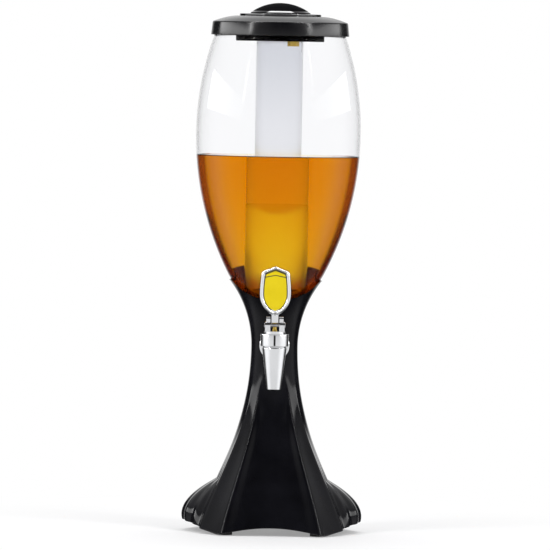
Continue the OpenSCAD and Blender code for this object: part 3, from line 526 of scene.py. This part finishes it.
def sharp_skirt_r(z, angle):
    a = folded(angle)
    r = ridge_r(z)
    if a < RIDGE_HALF:
        inside = smooth((RIDGE_HALF - a) / RECESS_ANGLE)
        lip = LIP * (1 - smooth((z - arch(a) - LIP_H) / LIP_H))
        shape = r * chord(RIDGE_HALF, a) - (RECESS - lip) * inside
    elif a > 90.0 - RIDGE_HALF:
        side = 90.0 - a
        swell = SIDE_CROWN + SIDE_SWELL * max(0.0, 1 - ((z - SWELL_Z) / SWELL_SPAN) ** 2)
        wave = (1 - math.cos(math.radians(360.0 * side / RIB_PITCH))) / 2
        rib = RIB * smooth((RIB_TOP - z) / RIB_TOP) * wave
        shape = r * chord(RIDGE_HALF, side) - rib
        shape += swell * math.cos(math.radians(90.0 * side / RIDGE_HALF)) ** SWELL_POWER
    else:
        leg = abs(a - 45.0)
        shape = r * chord(LEG_HALF, leg) - GROOVE * (1 - (leg / LEG_HALF) ** 2)
    return r + smooth((1 - z / SKIRT_H) / FACET_START) * (shape - r)


def arch(angle):
    a = folded(angle)
    if a < LANDING:
        return EDGE_LIFT + FRONT_ARCH_H * (1 - (a / LANDING) ** 2.2)
    return EDGE_LIFT + ARCH_H * math.sin(math.radians(90.0 * (a - LANDING) / (90.0 - LANDING))) ** 1.2


SOFTEN = (-1.8, -0.9, 0.0, 0.9, 1.8)


def skirt_r(z, angle):
    return sum(sharp_skirt_r(z, angle + d) for d in SOFTEN) / len(SOFTEN)


def skirt():
    steps = 480
    outer_rows = 96
    inner_rows = 28
    edge = 0.9
    turns = [360.0 * k / steps for k in range(steps)]
    feet = [sum(arch(a + d) for d in SOFTEN) / len(SOFTEN) for a in turns]
    rings = []

    def ring(height, depth):
        points = []
        for angle, foot in zip(turns, feet):
            z = height(foot)
            r = skirt_r(z, angle) - depth
            turn = math.radians(angle)
            points.append((r * math.sin(turn), -r * math.cos(turn), z))
        return points

    for j in range(outer_rows + 1):
        share = (j / outer_rows) ** 1.4
        rings.append(ring(lambda foot: SKIRT_H + (foot + edge - SKIRT_H) * (1 - share), 0.0))
    rings = rings[::-1]
    for k in range(1, 4):
        turn = math.radians(30.0 * k)
        rings.append(ring(lambda foot: foot + edge * (1 - math.sin(turn)), edge * (1 - math.cos(turn))))
    rings.append(ring(lambda foot: foot, SKIRT_WALL - edge))
    for j in range(inner_rows + 1):
        share = (j / inner_rows) ** 1.4
        rings.append(ring(lambda foot: foot + edge + (SKIRT_H - foot - edge) * share, SKIRT_WALL))
    return loft(rings)


piece(raw_object("skirt", skirt()), "stand", black_gloss, ["base_skirt"], sharp=60.0)


# Column with its collar: the rim dips in front, has a point at each side and rises at the back
def rim_z(r, turn):
    y = -r * math.cos(turn)
    if y >= 0:
        return TIP_Z + BACK_RISE * max(y - BACK_START, 0.0)
    x = r * math.sin(turn)
    return min(TIP_Z, FLOOR_Z + RIM_R - math.sqrt(max(RIM_R ** 2 - x * x, 0.0)))


def rim_height(radius_at, turn):
    low = FLOOR_Z - 1.0
    high = TIP_Z + 2 * BACK_RISE * BARREL_R
    for _ in range(40):
        mid = (low + high) / 2
        if mid < rim_z(radius_at(mid), turn):
            low = mid
        else:
            high = mid
    return (low + high) / 2


def cup_r(z):
    return max(barrel_r(z, -CUP_GAP), FLAT_R)


def column():
    steps = 288
    rows = 56
    edge = 0.5
    bore = 21.0
    tie_hole = 3.3
    spigot_in = 18.2
    spigot_out = 21.2
    columns = []
    for k in range(steps):
        turn = 2 * math.pi * k / steps
        sine = math.sin(turn)
        outer_z = rim_height(column_r, turn)
        inner_z = rim_height(cup_r, turn)
        r_out = column_r(outer_z)
        r_in = cup_r(inner_z)
        line = [(column_r(z), z) for z in spread(SKIRT_H, outer_z - edge, rows)]
        line.append((r_out - 0.15 * edge, outer_z - 0.3 * edge))
        for j in range(1, 8):
            share = j / 8
            r = r_out - edge + (r_in + edge - r_out + edge) * share
            line.append((r, rim_z(r, turn)))
        line.append((r_in + 0.1 * edge, inner_z - 0.1 * edge))
        line += [(cup_r(z), z) for z in spread(inner_z - edge, FLOOR_Z, 14)]
        line += [(FLAT_R, CUP_Z), (NECK_R + 0.3, CUP_Z), (NECK_R + 0.3, CUP_Z - 4), (bore, CUP_Z - 4)]
        line += [(bore, SKIRT_H + 4), (tie_hole, SKIRT_H + 4), (tie_hole, SKIRT_H), (spigot_in, SKIRT_H)]
        line += [(spigot_in, SKIRT_H - 5), (spigot_out, SKIRT_H - 5), (spigot_out, SKIRT_H)]
        columns.append([(r * sine, -r * math.cos(turn), z) for r, z in line])
    rings = [[line[i] for line in columns] for i in range(len(columns[0]))]
    return loft(rings)


def along_y(profile, z, steps=96):
    """A closed (radius, reach) profile turned about a level line to the front."""
    matrix = Matrix.Translation((0, 0, z)) @ Matrix.Rotation(math.radians(90), 4, "X")
    return placed(revolve(profile, steps), matrix)


BOSS_R = 14.0
SHANK_HOLE = 8.3
boss = along_y(fillet([(0, 15.0), (BOSS_R, 15.0), (BOSS_R, 25.0), (0, 25.0)], [0, 0, 0.5, 0]), TAP_Z)
shank_hole = along_y([(0, 12.0), (SHANK_HOLE, 12.0), (SHANK_HOLE, 30.0), (0, 30.0)], TAP_Z)
column_body = raw_object("column", column())
combine(column_body, raw_object("boss", boss), "UNION")
combine(column_body, raw_object("shank_hole", shank_hole), "DIFFERENCE")
piece(column_body, "stand", black_gloss, ["base_column"], sharp=40.0)


# Barrel, beer and ice tube
ROUND = 192


def wall_line(low, high, inset, steps):
    return [(barrel_r(z, inset), z) for z in spread(low, high, steps)]


mouth_out = barrel_r(MOUTH_Z)
mouth_in = barrel_r(MOUTH_Z, BARREL_WALL)
barrel_profile = [(NECK_BORE, NECK_Z), (NECK_R, NECK_Z), (NECK_R, FLOOR_Z), (FLAT_R, FLOOR_Z)]
barrel_profile += wall_line(FLOOR_Z, MOUTH_Z - 0.8, 0.02, 110)[1:]
barrel_profile += [(mouth_out - 0.3, MOUTH_Z - 0.2), (mouth_out - 0.9, MOUTH_Z)]
barrel_profile += [(mouth_in + 0.9, MOUTH_Z), (mouth_in + 0.3, MOUTH_Z - 0.2)]
barrel_profile += wall_line(MOUTH_Z - 0.8, FLOOR_Z + BARREL_WALL, BARREL_WALL, 110)
barrel_profile += [(NECK_BORE, FLOOR_Z + BARREL_WALL)]
barrel_shell = raw_object("barrel_shell", revolve(barrel_profile, ROUND))
piece(barrel_shell, "stand", clear_plastic, ["barrel"], sharp=40.0)

TUBE_R = 24.0
TUBE_WALL = 2.0
TUBE_Z = 254.0
WET = BARREL_WALL - 0.15
CORE_R = TUBE_R + 0.6
CORE_Z = TUBE_Z - 0.6
CORE_TOP = 332.0
CORE_DISH = 10.0


def core_profile(inset):
    """The paler beer round the tube's lower end, painted light round the frosted tube, with a dished top.
    """
    low = CORE_Z + inset
    r = CORE_R - inset
    dish = [(r * s, CORE_TOP - inset + CORE_DISH * s * s) for s in spread(1.0, 0.0, 8)]
    return [(0, low), (r - 2.0, low), (r - 0.6, low + 0.6), (r, low + 2.0)] + dish


beer_r = barrel_r(BEER_Z, WET)
beer_profile = [(0, FLOOR_Z + WET)]
beer_profile += wall_line(FLOOR_Z + WET, BEER_Z + 1.0, WET, 90)
beer_profile += [(beer_r - 0.9, BEER_Z + 0.25), (beer_r - 2.2, BEER_Z), (0, BEER_Z)]
beer_shape = joined(revolve(beer_profile, ROUND), revolve(core_profile(0.02)[::-1], ROUND))
piece(raw_object("beer", beer_shape, turn_faces=False), "stand", beer_material)
# The paler core is painted light: beer that absorbs less, so the tube's lower end looks lit
piece(raw_object("beer_core_painted_light", revolve(core_profile(0.0), ROUND)), "stand", beer_painted_light)

TUBE_IN = TUBE_R - TUBE_WALL
TUBE_RIM = TUBE_R + 4
TUBE_SEAT_Z = 518.0
tube_profile = fillet(
    [(0, TUBE_Z), (TUBE_R, TUBE_Z), (TUBE_R, TUBE_SEAT_Z), (TUBE_RIM, TUBE_SEAT_Z), (TUBE_RIM, MOUTH_Z),
     (TUBE_IN, MOUTH_Z), (TUBE_IN, TUBE_Z + TUBE_WALL), (0, TUBE_Z + TUBE_WALL)],
    [0, 2.2, 0.4, 0.5, 0.5, 0.5, 1.5, 0])
tube_shell = raw_object("ice_tube_shell", revolve(tube_profile, 144))
piece(tube_shell, "lid_set", frosted, ["ice_tube"])


# Lid: a band, a sloping top, a trough round the port and a socket below it
BAND_Z = 511.0
BAND_R = 71.2
BAND_INNER = 68.8
BAND_DRAFT = 1.5
SHOULDER_Z = 524.9
SEAT_Z = 531.1
SLOPE_R = 42.3
SLOPE_RUN = 25.0
SLOPE_DROP = 5.4
TROUGH_OUT = 40.0
TROUGH_IN = 31.3
TROUGH_Z = 508.0
PORT_R = 28.3
TUBE_HOLE = 24.3
SOCKET_R = 45.5
SOCKET_Z = 505.0
ROOF_Z = 522.5
lid_slope = [(SLOPE_R + SLOPE_RUN * s, SEAT_Z - SLOPE_DROP * s ** 1.8) for s in spread(1.0, 0.0, 12)]
lid_points = [(BAND_INNER, BAND_Z), (BAND_R, BAND_Z), (BAND_R - BAND_DRAFT, SHOULDER_Z)] + lid_slope
lid_points += [(TROUGH_OUT, SEAT_Z), (TROUGH_OUT, TROUGH_Z), (TROUGH_IN, TROUGH_Z), (TROUGH_IN, SEAT_Z),
               (PORT_R, SEAT_Z), (PORT_R, TUBE_SEAT_Z), (TUBE_HOLE, TUBE_SEAT_Z), (TUBE_HOLE, SOCKET_Z),
               (SOCKET_R, SOCKET_Z), (SOCKET_R, ROOF_Z), (BAND_INNER - BAND_DRAFT, ROOF_Z)]
lid_rounds = [0.5, 0.6, 2.6] + [0] * len(lid_slope)
lid_rounds += [0.3, 0.5, 0.5, 0.4, 0.4, 0.3, 0.3, 0.3, 1.0, 0.5, 0.8]
lid_shell = raw_object("lid_shell", revolve(fillet(lid_points, lid_rounds), ROUND))
piece(lid_shell, "lid_set", lid_black, ["lid"])
# The socket, the trough and the underside of the lid get the darker, unreflecting copy: painted shade
paint(lid_shell, black_painted_shade, lambda middle: middle.z < 516.0 and middle.xy.length < SOCKET_R + 0.5)

# Cap: a plate with a hollow plug, and a domed knob on a narrow chamfer
CAP_TOP = 533.6
CAP_R = 42.0
PLUG_Z = 522.0
PLUG_R = 28.0
PLUG_IN = 24.0
HOLLOW_R = 25.9
KNOB_TOP = 544.58
KNOB_R = 28.4
KNOB_WALL = 2.5
DOME_Z = 536.1
DOME_R = 51.7
DOME_CENTRE_Z = KNOB_TOP - DOME_R


def dome_arc(radius, start, end, steps):
    return [(radius * math.sin(a), DOME_CENTRE_Z + radius * math.cos(a)) for a in spread(start, end, steps)]


dome_in = DOME_R - KNOB_WALL
dome = dome_arc(DOME_R, math.asin(KNOB_R / DOME_R), 0.0, 20)
dome_inside = dome_arc(dome_in, 0.0, math.asin(HOLLOW_R / dome_in), 12)
cap_points = [(HOLLOW_R, SEAT_Z), (PLUG_IN, SEAT_Z), (PLUG_IN, PLUG_Z), (PLUG_R, PLUG_Z), (PLUG_R, SEAT_Z),
              (CAP_R, SEAT_Z), (CAP_R, CAP_TOP - 0.4), (31.0, CAP_TOP + 0.1), (30.4, CAP_TOP + 1.1)]
cap_rounds = [0.3, 0.3, 0.3, 0.6, 0.2, 0.4, 0.6, 0.2, 0.1]
cap_profile = fillet(cap_points + [(KNOB_R, DOME_Z)], cap_rounds + [0])[:-1] + dome + dome_inside
cap_shell = raw_object("port_cap_shell", revolve(cap_profile, ROUND))
piece(cap_shell, "cap", cap_black, ["port_cap"])
# The knob's dome and the steep ring under it get the darker, unreflecting copy: painted shade
paint(cap_shell, black_painted_shade, lambda middle: middle.z > DOME_Z or 0.15 < middle.z - CAP_TOP < 1.0)


# Tap: a tapered spout under a round head with a slit whose inner walls are painted black as painted shade,
# on a shank
SPOUT_Z = 149.0
SPOUT_BORE = 5.0
SPOUT_R = 7.2
SPOUT_TOP_R = 12.6
HEAD_GROOVE_R = 11.8
HEAD_R = 14.4
HEAD_Z = 193.6
HEAD_TOP = 206.2
SHANK_R = 8.0
SLIT_LOW = (-1.0, -66.0, 194.4)
SLIT_HIGH = (1.0, -62.4, 205.2)
FLANGE_R = 15.5
spout_points = [(0, SPOUT_Z + 9.0), (SPOUT_BORE, SPOUT_Z + 8.0), (SPOUT_BORE, SPOUT_Z), (SPOUT_R, SPOUT_Z),
                (SPOUT_TOP_R, 191.6), (HEAD_GROOVE_R, 192.6), (HEAD_GROOVE_R, HEAD_Z), (HEAD_R, HEAD_Z),
                (HEAD_R, HEAD_TOP), (0, HEAD_TOP)]
spout_rounds = [0, 0.5, 0.5, 0.8, 0.9, 0.2, 0.1, 0.7, 0.8, 0]
spout = revolve(fillet(spout_points, spout_rounds), 144)
tap = raw_object("tap", placed(spout, Matrix.Translation((0, TAP_Y, 0))))
shank = along_y([(0, 11.0), (SHANK_R, 11.0), (SHANK_R, 50.0), (0, 50.0)], TAP_Z)
combine(tap, raw_object("shank", shank), "UNION")
combine(tap, raw_object("slit", box_shape(SLIT_LOW, SLIT_HIGH)), "DIFFERENCE")
piece(tap, "stand", chrome, ["tap_body"])


def in_slit_painted_shade(middle):
    return abs(middle.x) < 1.05 and -63.9 < middle.y < -62.0 and 194.0 < middle.z < 205.6


# The slit's inner walls are painted black: painted shade in the recess
paint(tap, black_matt, in_slit_painted_shade)

flange_points = [(SHANK_HOLE, 26.5), (FLANGE_R, 26.5), (FLANGE_R, 31.0), (SHANK_HOLE, 31.0)]
flange = along_y(fillet(flange_points, [0.3, 0.5, 1.6, 0.4]), TAP_Z, 128)
piece(raw_object("tap_flange", flange), "stand", chrome, ["shank_flange"])


# Shield handle
SHIELD_HALF = 16.0
SHIELD_UP = 32.0
SHIELD_TOP = 29.0
SHIELD_LOW_R = 24.0
SHIELD_SIDE_R = 140.0
SHIELD_SLOPE = 0.39
SHIELD_SOFT = 30.0
SHIELD_T = 6.0
SHIELD_RIM = 3.7
LEAN = 4.5
on_shield = (Matrix.Translation((0, PIVOT_Y, PIVOT_Z)) @ Matrix.Rotation(math.radians(LEAN), 4, "X")
             @ Matrix.Rotation(math.radians(90), 4, "X"))


def shield(inset, steps=240):
    """Points round the shield's outline, found along rays from its middle, with softened corners."""
    top = Vector((SHIELD_SLOPE, 1.0)).normalized()
    points = []
    for k in range(steps):
        turn = 2 * math.pi * k / steps
        ray = Vector((abs(math.sin(turn)), math.cos(turn)))
        radius = SHIELD_SIDE_R if ray.y >= 0 else SHIELD_LOW_R
        reaches = []
        for side in (1, -1):
            offset = side * (radius - SHIELD_HALF) * ray.x
            square = offset ** 2 - (radius - SHIELD_HALF) ** 2 + (radius - inset) ** 2
            reaches.append(math.sqrt(square) - offset)
        if ray.dot(top) > 0.01:
            reaches.append((top.y * SHIELD_TOP - inset) / ray.dot(top))
        reach = sum(r ** -SHIELD_SOFT for r in reaches) ** (-1 / SHIELD_SOFT)
        points.append((math.copysign(ray.x, math.sin(turn)) * reach, SHIELD_UP + ray.y * reach))
    return points


def shield_rings(levels):
    return [[(x, y, z) for x, y in shield(inset)] for inset, z in levels]


HALF_T = SHIELD_T / 2
POCKET = HALF_T - 1.9
frame_levels = [(1.2, -HALF_T), (0.35, -HALF_T + 0.35), (0.0, -HALF_T + 1.2), (0.0, 1.0), (0.25, 1.9),
                (0.9, 2.6), (1.7, HALF_T - 0.05), (2.4, HALF_T - 0.1), (3.1, 2.5), (SHIELD_RIM, 1.9),
                (SHIELD_RIM, POCKET)]
lever = raw_object("lever_handle", placed(capped(shield_rings(frame_levels)), on_shield))

# Lug, hub, heel and nose under the shield, with the pin's hole and the slot for the stem
HEEL_D = 1.8
HEEL_H = 5.6
LUG_HALF = 3.6
LUG_TOP = SHIELD_UP - SHIELD_LOW_R + 10.0
HUB_R = 3.8
NOSE_R = 2.0
PIN_HOLE = 1.55
SLOT_HALF = 2.6


def along_x(r, half, y, z, steps=64):
    """A rod with chamfered ends, on a level line from side to side."""
    edge = 0.3
    profile = [(0, -half), (r - edge, -half), (r, edge - half)]
    profile += [(r, half - edge), (r - edge, half), (0, half)]
    matrix = Matrix.Translation((0, y, z)) @ Matrix.Rotation(math.radians(90), 4, "Y")
    return placed(revolve(profile, steps), matrix)


lug = placed(box_shape((-LUG_HALF, 0, -3.0), (LUG_HALF, LUG_TOP, 2.4)), on_shield)
heel = box_shape((-LUG_HALF, PIVOT_Y - HEEL_D, PIVOT_Z - HEEL_H), (LUG_HALF, PIVOT_Y, PIVOT_Z))
nose = box_shape((-LUG_HALF, PIVOT_Y, PIVOT_Z - NOSE_R), (LUG_HALF, TAP_Y, PIVOT_Z + NOSE_R))
slot = box_shape((-SLOT_HALF, TAP_Y - SLOT_HALF, PIVOT_Z - 6), (SLOT_HALF, TAP_Y + 6, PIVOT_Z + 6))
combine(lever, raw_object("lug", lug, bevel=0.6), "UNION")
combine(lever, raw_object("hub", along_x(HUB_R, LUG_HALF, PIVOT_Y, PIVOT_Z)), "UNION")
combine(lever, raw_object("heel", heel, bevel=0.4), "UNION")
combine(lever, raw_object("nose", nose, bevel=0.4), "UNION")
combine(lever, raw_object("nose_end", along_x(NOSE_R, LUG_HALF, TAP_Y, PIVOT_Z)), "UNION")
combine(lever, raw_object("slot", slot), "DIFFERENCE")
combine(lever, raw_object("pin_hole", along_x(PIN_HOLE, LUG_HALF + 1, PIVOT_Y, PIVOT_Z)), "DIFFERENCE")
piece(lever, "lever", chrome, ["tap_lever"])

# Badge: a yellow plate in a thin dark border, with one dark line across its top
BORDER_W = 0.7
BADGE_IN = SHIELD_RIM + BORDER_W
badge_levels = [(BADGE_IN, POCKET), (BADGE_IN, POCKET + 0.9), (BADGE_IN + 0.4, POCKET + 1.25),
                (BADGE_IN + 1.4, POCKET + 1.42), (BADGE_IN + 4.0, POCKET + 1.5)]
badge = raw_object("badge", placed(capped(shield_rings(badge_levels)), on_shield))
piece(badge, "lever", yellow_gloss, ["badge_plate"])

border = loft(shield_rings([(SHIELD_RIM + 0.05, POCKET), (SHIELD_RIM + 0.05, POCKET + 1.1),
                            (BADGE_IN - 0.02, POCKET + 1.1), (BADGE_IN - 0.02, POCKET)]))
LINE_HALF = 10.6
LINE_Y = SHIELD_UP + 17.2
LINE_W = 0.8
line_rings = []
for x in spread(-LINE_HALF, LINE_HALF, 24):
    y = LINE_Y + 2.2 * (1 - abs(x) / LINE_HALF)
    line_rings.append([(x, y, POCKET + 1.0), (x, y + LINE_W, POCKET + 1.0), (x, y + LINE_W, POCKET + 1.58),
                       (x, y, POCKET + 1.58)])
trim = raw_object("badge_trim", placed(joined(border, capped(line_rings)), on_shield))
piece(trim, "lever", black_matt)

# Nodes that keep their own solids
kept = {
    "bottom_plate": black_matt, "rubber_feet": rubber, "tie_bolt": steel, "tie_washer": steel,
    "tie_nut": steel, "barrel_gasket": rubber, "barrel_locknut": black_matt, "outlet_elbow": black_matt,
    "elbow_o_ring": rubber, "shank_seal": rubber, "shank_washer": steel, "shank_nut": steel,
    "tap_bonnet": chrome, "stem_o_ring": rubber, "valve_stem": brass, "valve_plug": rubber,
    "pivot_pin": steel, "lid_gasket": silicone, "port_o_ring": silicone, "vent_bush": brass,
    "vent_flap": silicone, "transducer": steel, "transducer_lead": red_lead, "driver_board": board_green,
    "battery_tray": black_matt, "battery_contacts": steel, "battery_cells": cell_wrap,
    "battery_cover": black_matt, "cover_screw": steel, "switch_body": black_matt,
    "switch_slider": white_matt,
}
for name, material in kept.items():
    dress(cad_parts[name], material, 30.0)

# Return spring: the node's coil, copied into an object of its own on the stand
spring_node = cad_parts["return_spring"]
spring_mesh = spring_node.data.copy()
spring_mesh.transform(spring_node.matrix_world)
spring = bpy.data.objects.new("spring_coil", spring_mesh)
scene.collection.objects.link(spring)
piece(spring, "stand", steel, ["return_spring"])
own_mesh(spring)


# Camera
CAMERA_AT = (-0.0008, -6.2, 0.511)
CAMERA_TARGET = (-0.0008, 0.0, 0.2644)
CAMERA_ROLL = 1.06
camera_data = bpy.data.cameras.new("camera")
camera_data.lens = 394.0
camera_data.sensor_width = 36.0
camera = bpy.data.objects.new("camera", camera_data)
scene.collection.objects.link(camera)
camera.location = CAMERA_AT
aim = Vector(CAMERA_TARGET) - camera.location
camera.rotation_euler = (aim.to_track_quat("-Z", "Y").to_matrix()
                         @ Matrix.Rotation(math.radians(CAMERA_ROLL), 3, "Z")).to_euler()
scene.camera = camera


# Lamps: two far side panels, two narrow strips in front and a box above the back
def softbox(name, at, target, width, height, radiance):
    data = bpy.data.lights.new(name, "AREA")
    data.shape = "RECTANGLE"
    data.size = width
    data.size_y = height
    data.energy = radiance * math.pi * width * height
    lamp = bpy.data.objects.new(name, data)
    scene.collection.objects.link(lamp)
    lamp.location = at
    lamp.rotation_euler = (Vector(target) - Vector(at)).to_track_quat("-Z", "Y").to_euler()
    lamp.visible_camera = False
    lamp.visible_transmission = False


softbox("left_panel", (-4.5, -0.4, 1.18), (0, -0.4, 0.6), 6.3, 0.75, 6.5)
softbox("right_panel", (4.5, -0.4, 1.18), (0, -0.4, 0.6), 6.3, 0.75, 5.0)
softbox("left_strip", (-0.92, -0.77, 1.4), (0, 0, 0.5), 0.06, 1.7, 40.0)
softbox("right_strip", (0.92, -0.77, 1.4), (0, 0, 0.5), 0.06, 1.7, 40.0)
softbox("top_box", (0, 0.55, 2.1), (0, 0, 0.54), 1.4, 0.5, 10.0)


# World: white to the camera; in reflections white behind and above the sides, with a band low in front
AMBIENT = 0.3
world = bpy.data.worlds.new("studio")
scene.world = world
world.use_nodes = True
tree = world.node_tree
tree.nodes.clear()
coords = tree.nodes.new("ShaderNodeTexCoord")
split = tree.nodes.new("ShaderNodeSeparateXYZ")
tree.links.new(coords.outputs["Generated"], split.inputs["Vector"])
path = tree.nodes.new("ShaderNodeLightPath")
to_back = split.outputs["Y"]
upward = split.outputs["Z"]
is_glossy = path.outputs["Is Glossy Ray"]
aside = combined(tree, "ABSOLUTE", split.outputs["X"])
behind = stepped(tree, to_back, 0.3, 0.7)
behind = product(tree, behind, stepped(tree, aside, 0.2, 0.5, 1.0, 0.0))
front_low = stepped(tree, upward, 0.0, 0.28, 0.92, 0.03)
front_low = product(tree, front_low, stepped(tree, to_back, 0.1, 0.55, 1.0, 0.04))
front_low = product(tree, front_low, stepped(tree, upward, -0.8, -0.4, 0.05, 1.0))
front_low = product(tree, front_low, stepped(tree, aside, 0.6, 0.95, 0.85, 1.15))
beside = stepped(tree, aside, 0.12, 0.5)
beside = product(tree, beside, stepped(tree, upward, 0.2, 0.5))
glossy = larger(tree, larger(tree, behind, beside), front_low)
seen = larger(tree, path.outputs["Is Camera Ray"], path.outputs["Is Transmission Ray"])
diffuse = product(tree, combined(tree, "SUBTRACT", 1.0, is_glossy), AMBIENT)
other = combined(tree, "ADD", diffuse, product(tree, is_glossy, glossy))
level = larger(tree, seen, other)
background = tree.nodes.new("ShaderNodeBackground")
background.inputs["Color"].default_value = (1.0, 1.0, 1.0, 1.0)
tree.links.new(level, background.inputs["Strength"])
output = tree.nodes.new("ShaderNodeOutputWorld")
tree.links.new(background.outputs["Background"], output.inputs["Surface"])


# Floor: pale near the object, where it takes the shadow, and white like the backdrop far from it
FLOOR_R = 6.0
floor_mesh = bpy.data.meshes.new("floor")
work = bmesh.new()
bmesh.ops.create_circle(work, cap_ends=True, radius=FLOOR_R, segments=96)
work.to_mesh(floor_mesh)
work.free()
floor = bpy.data.objects.new("floor", floor_mesh)
scene.collection.objects.link(floor)
floor_material = bpy.data.materials.new("floor")
floor_material.use_nodes = True
tree = floor_material.node_tree
floor_bsdf = tree.nodes["Principled BSDF"]
floor_bsdf.inputs["Base Color"].default_value = (0.82, 0.82, 0.83, 1.0)
floor_bsdf.inputs["Roughness"].default_value = 0.6
floor_bsdf.inputs["Specular IOR Level"].default_value = 0.1
coords = tree.nodes.new("ShaderNodeTexCoord")
distance = tree.nodes.new("ShaderNodeVectorMath")
distance.operation = "LENGTH"
tree.links.new(coords.outputs["Object"], distance.inputs[0])
path = tree.nodes.new("ShaderNodeLightPath")
far_share = stepped(tree, distance.outputs["Value"], 0.12, 0.45, 0.3, 1.0)
seen = larger(tree, path.outputs["Is Camera Ray"], path.outputs["Is Transmission Ray"])
share = product(tree, far_share, seen)
white = tree.nodes.new("ShaderNodeEmission")
mix = tree.nodes.new("ShaderNodeMixShader")
tree.links.new(share, mix.inputs["Fac"])
tree.links.new(floor_bsdf.outputs["BSDF"], mix.inputs[1])
tree.links.new(white.outputs["Emission"], mix.inputs[2])
tree.links.new(mix.outputs["Shader"], tree.nodes["Material Output"].inputs["Surface"])
floor.data.materials.append(floor_material)
floor.visible_glossy = False
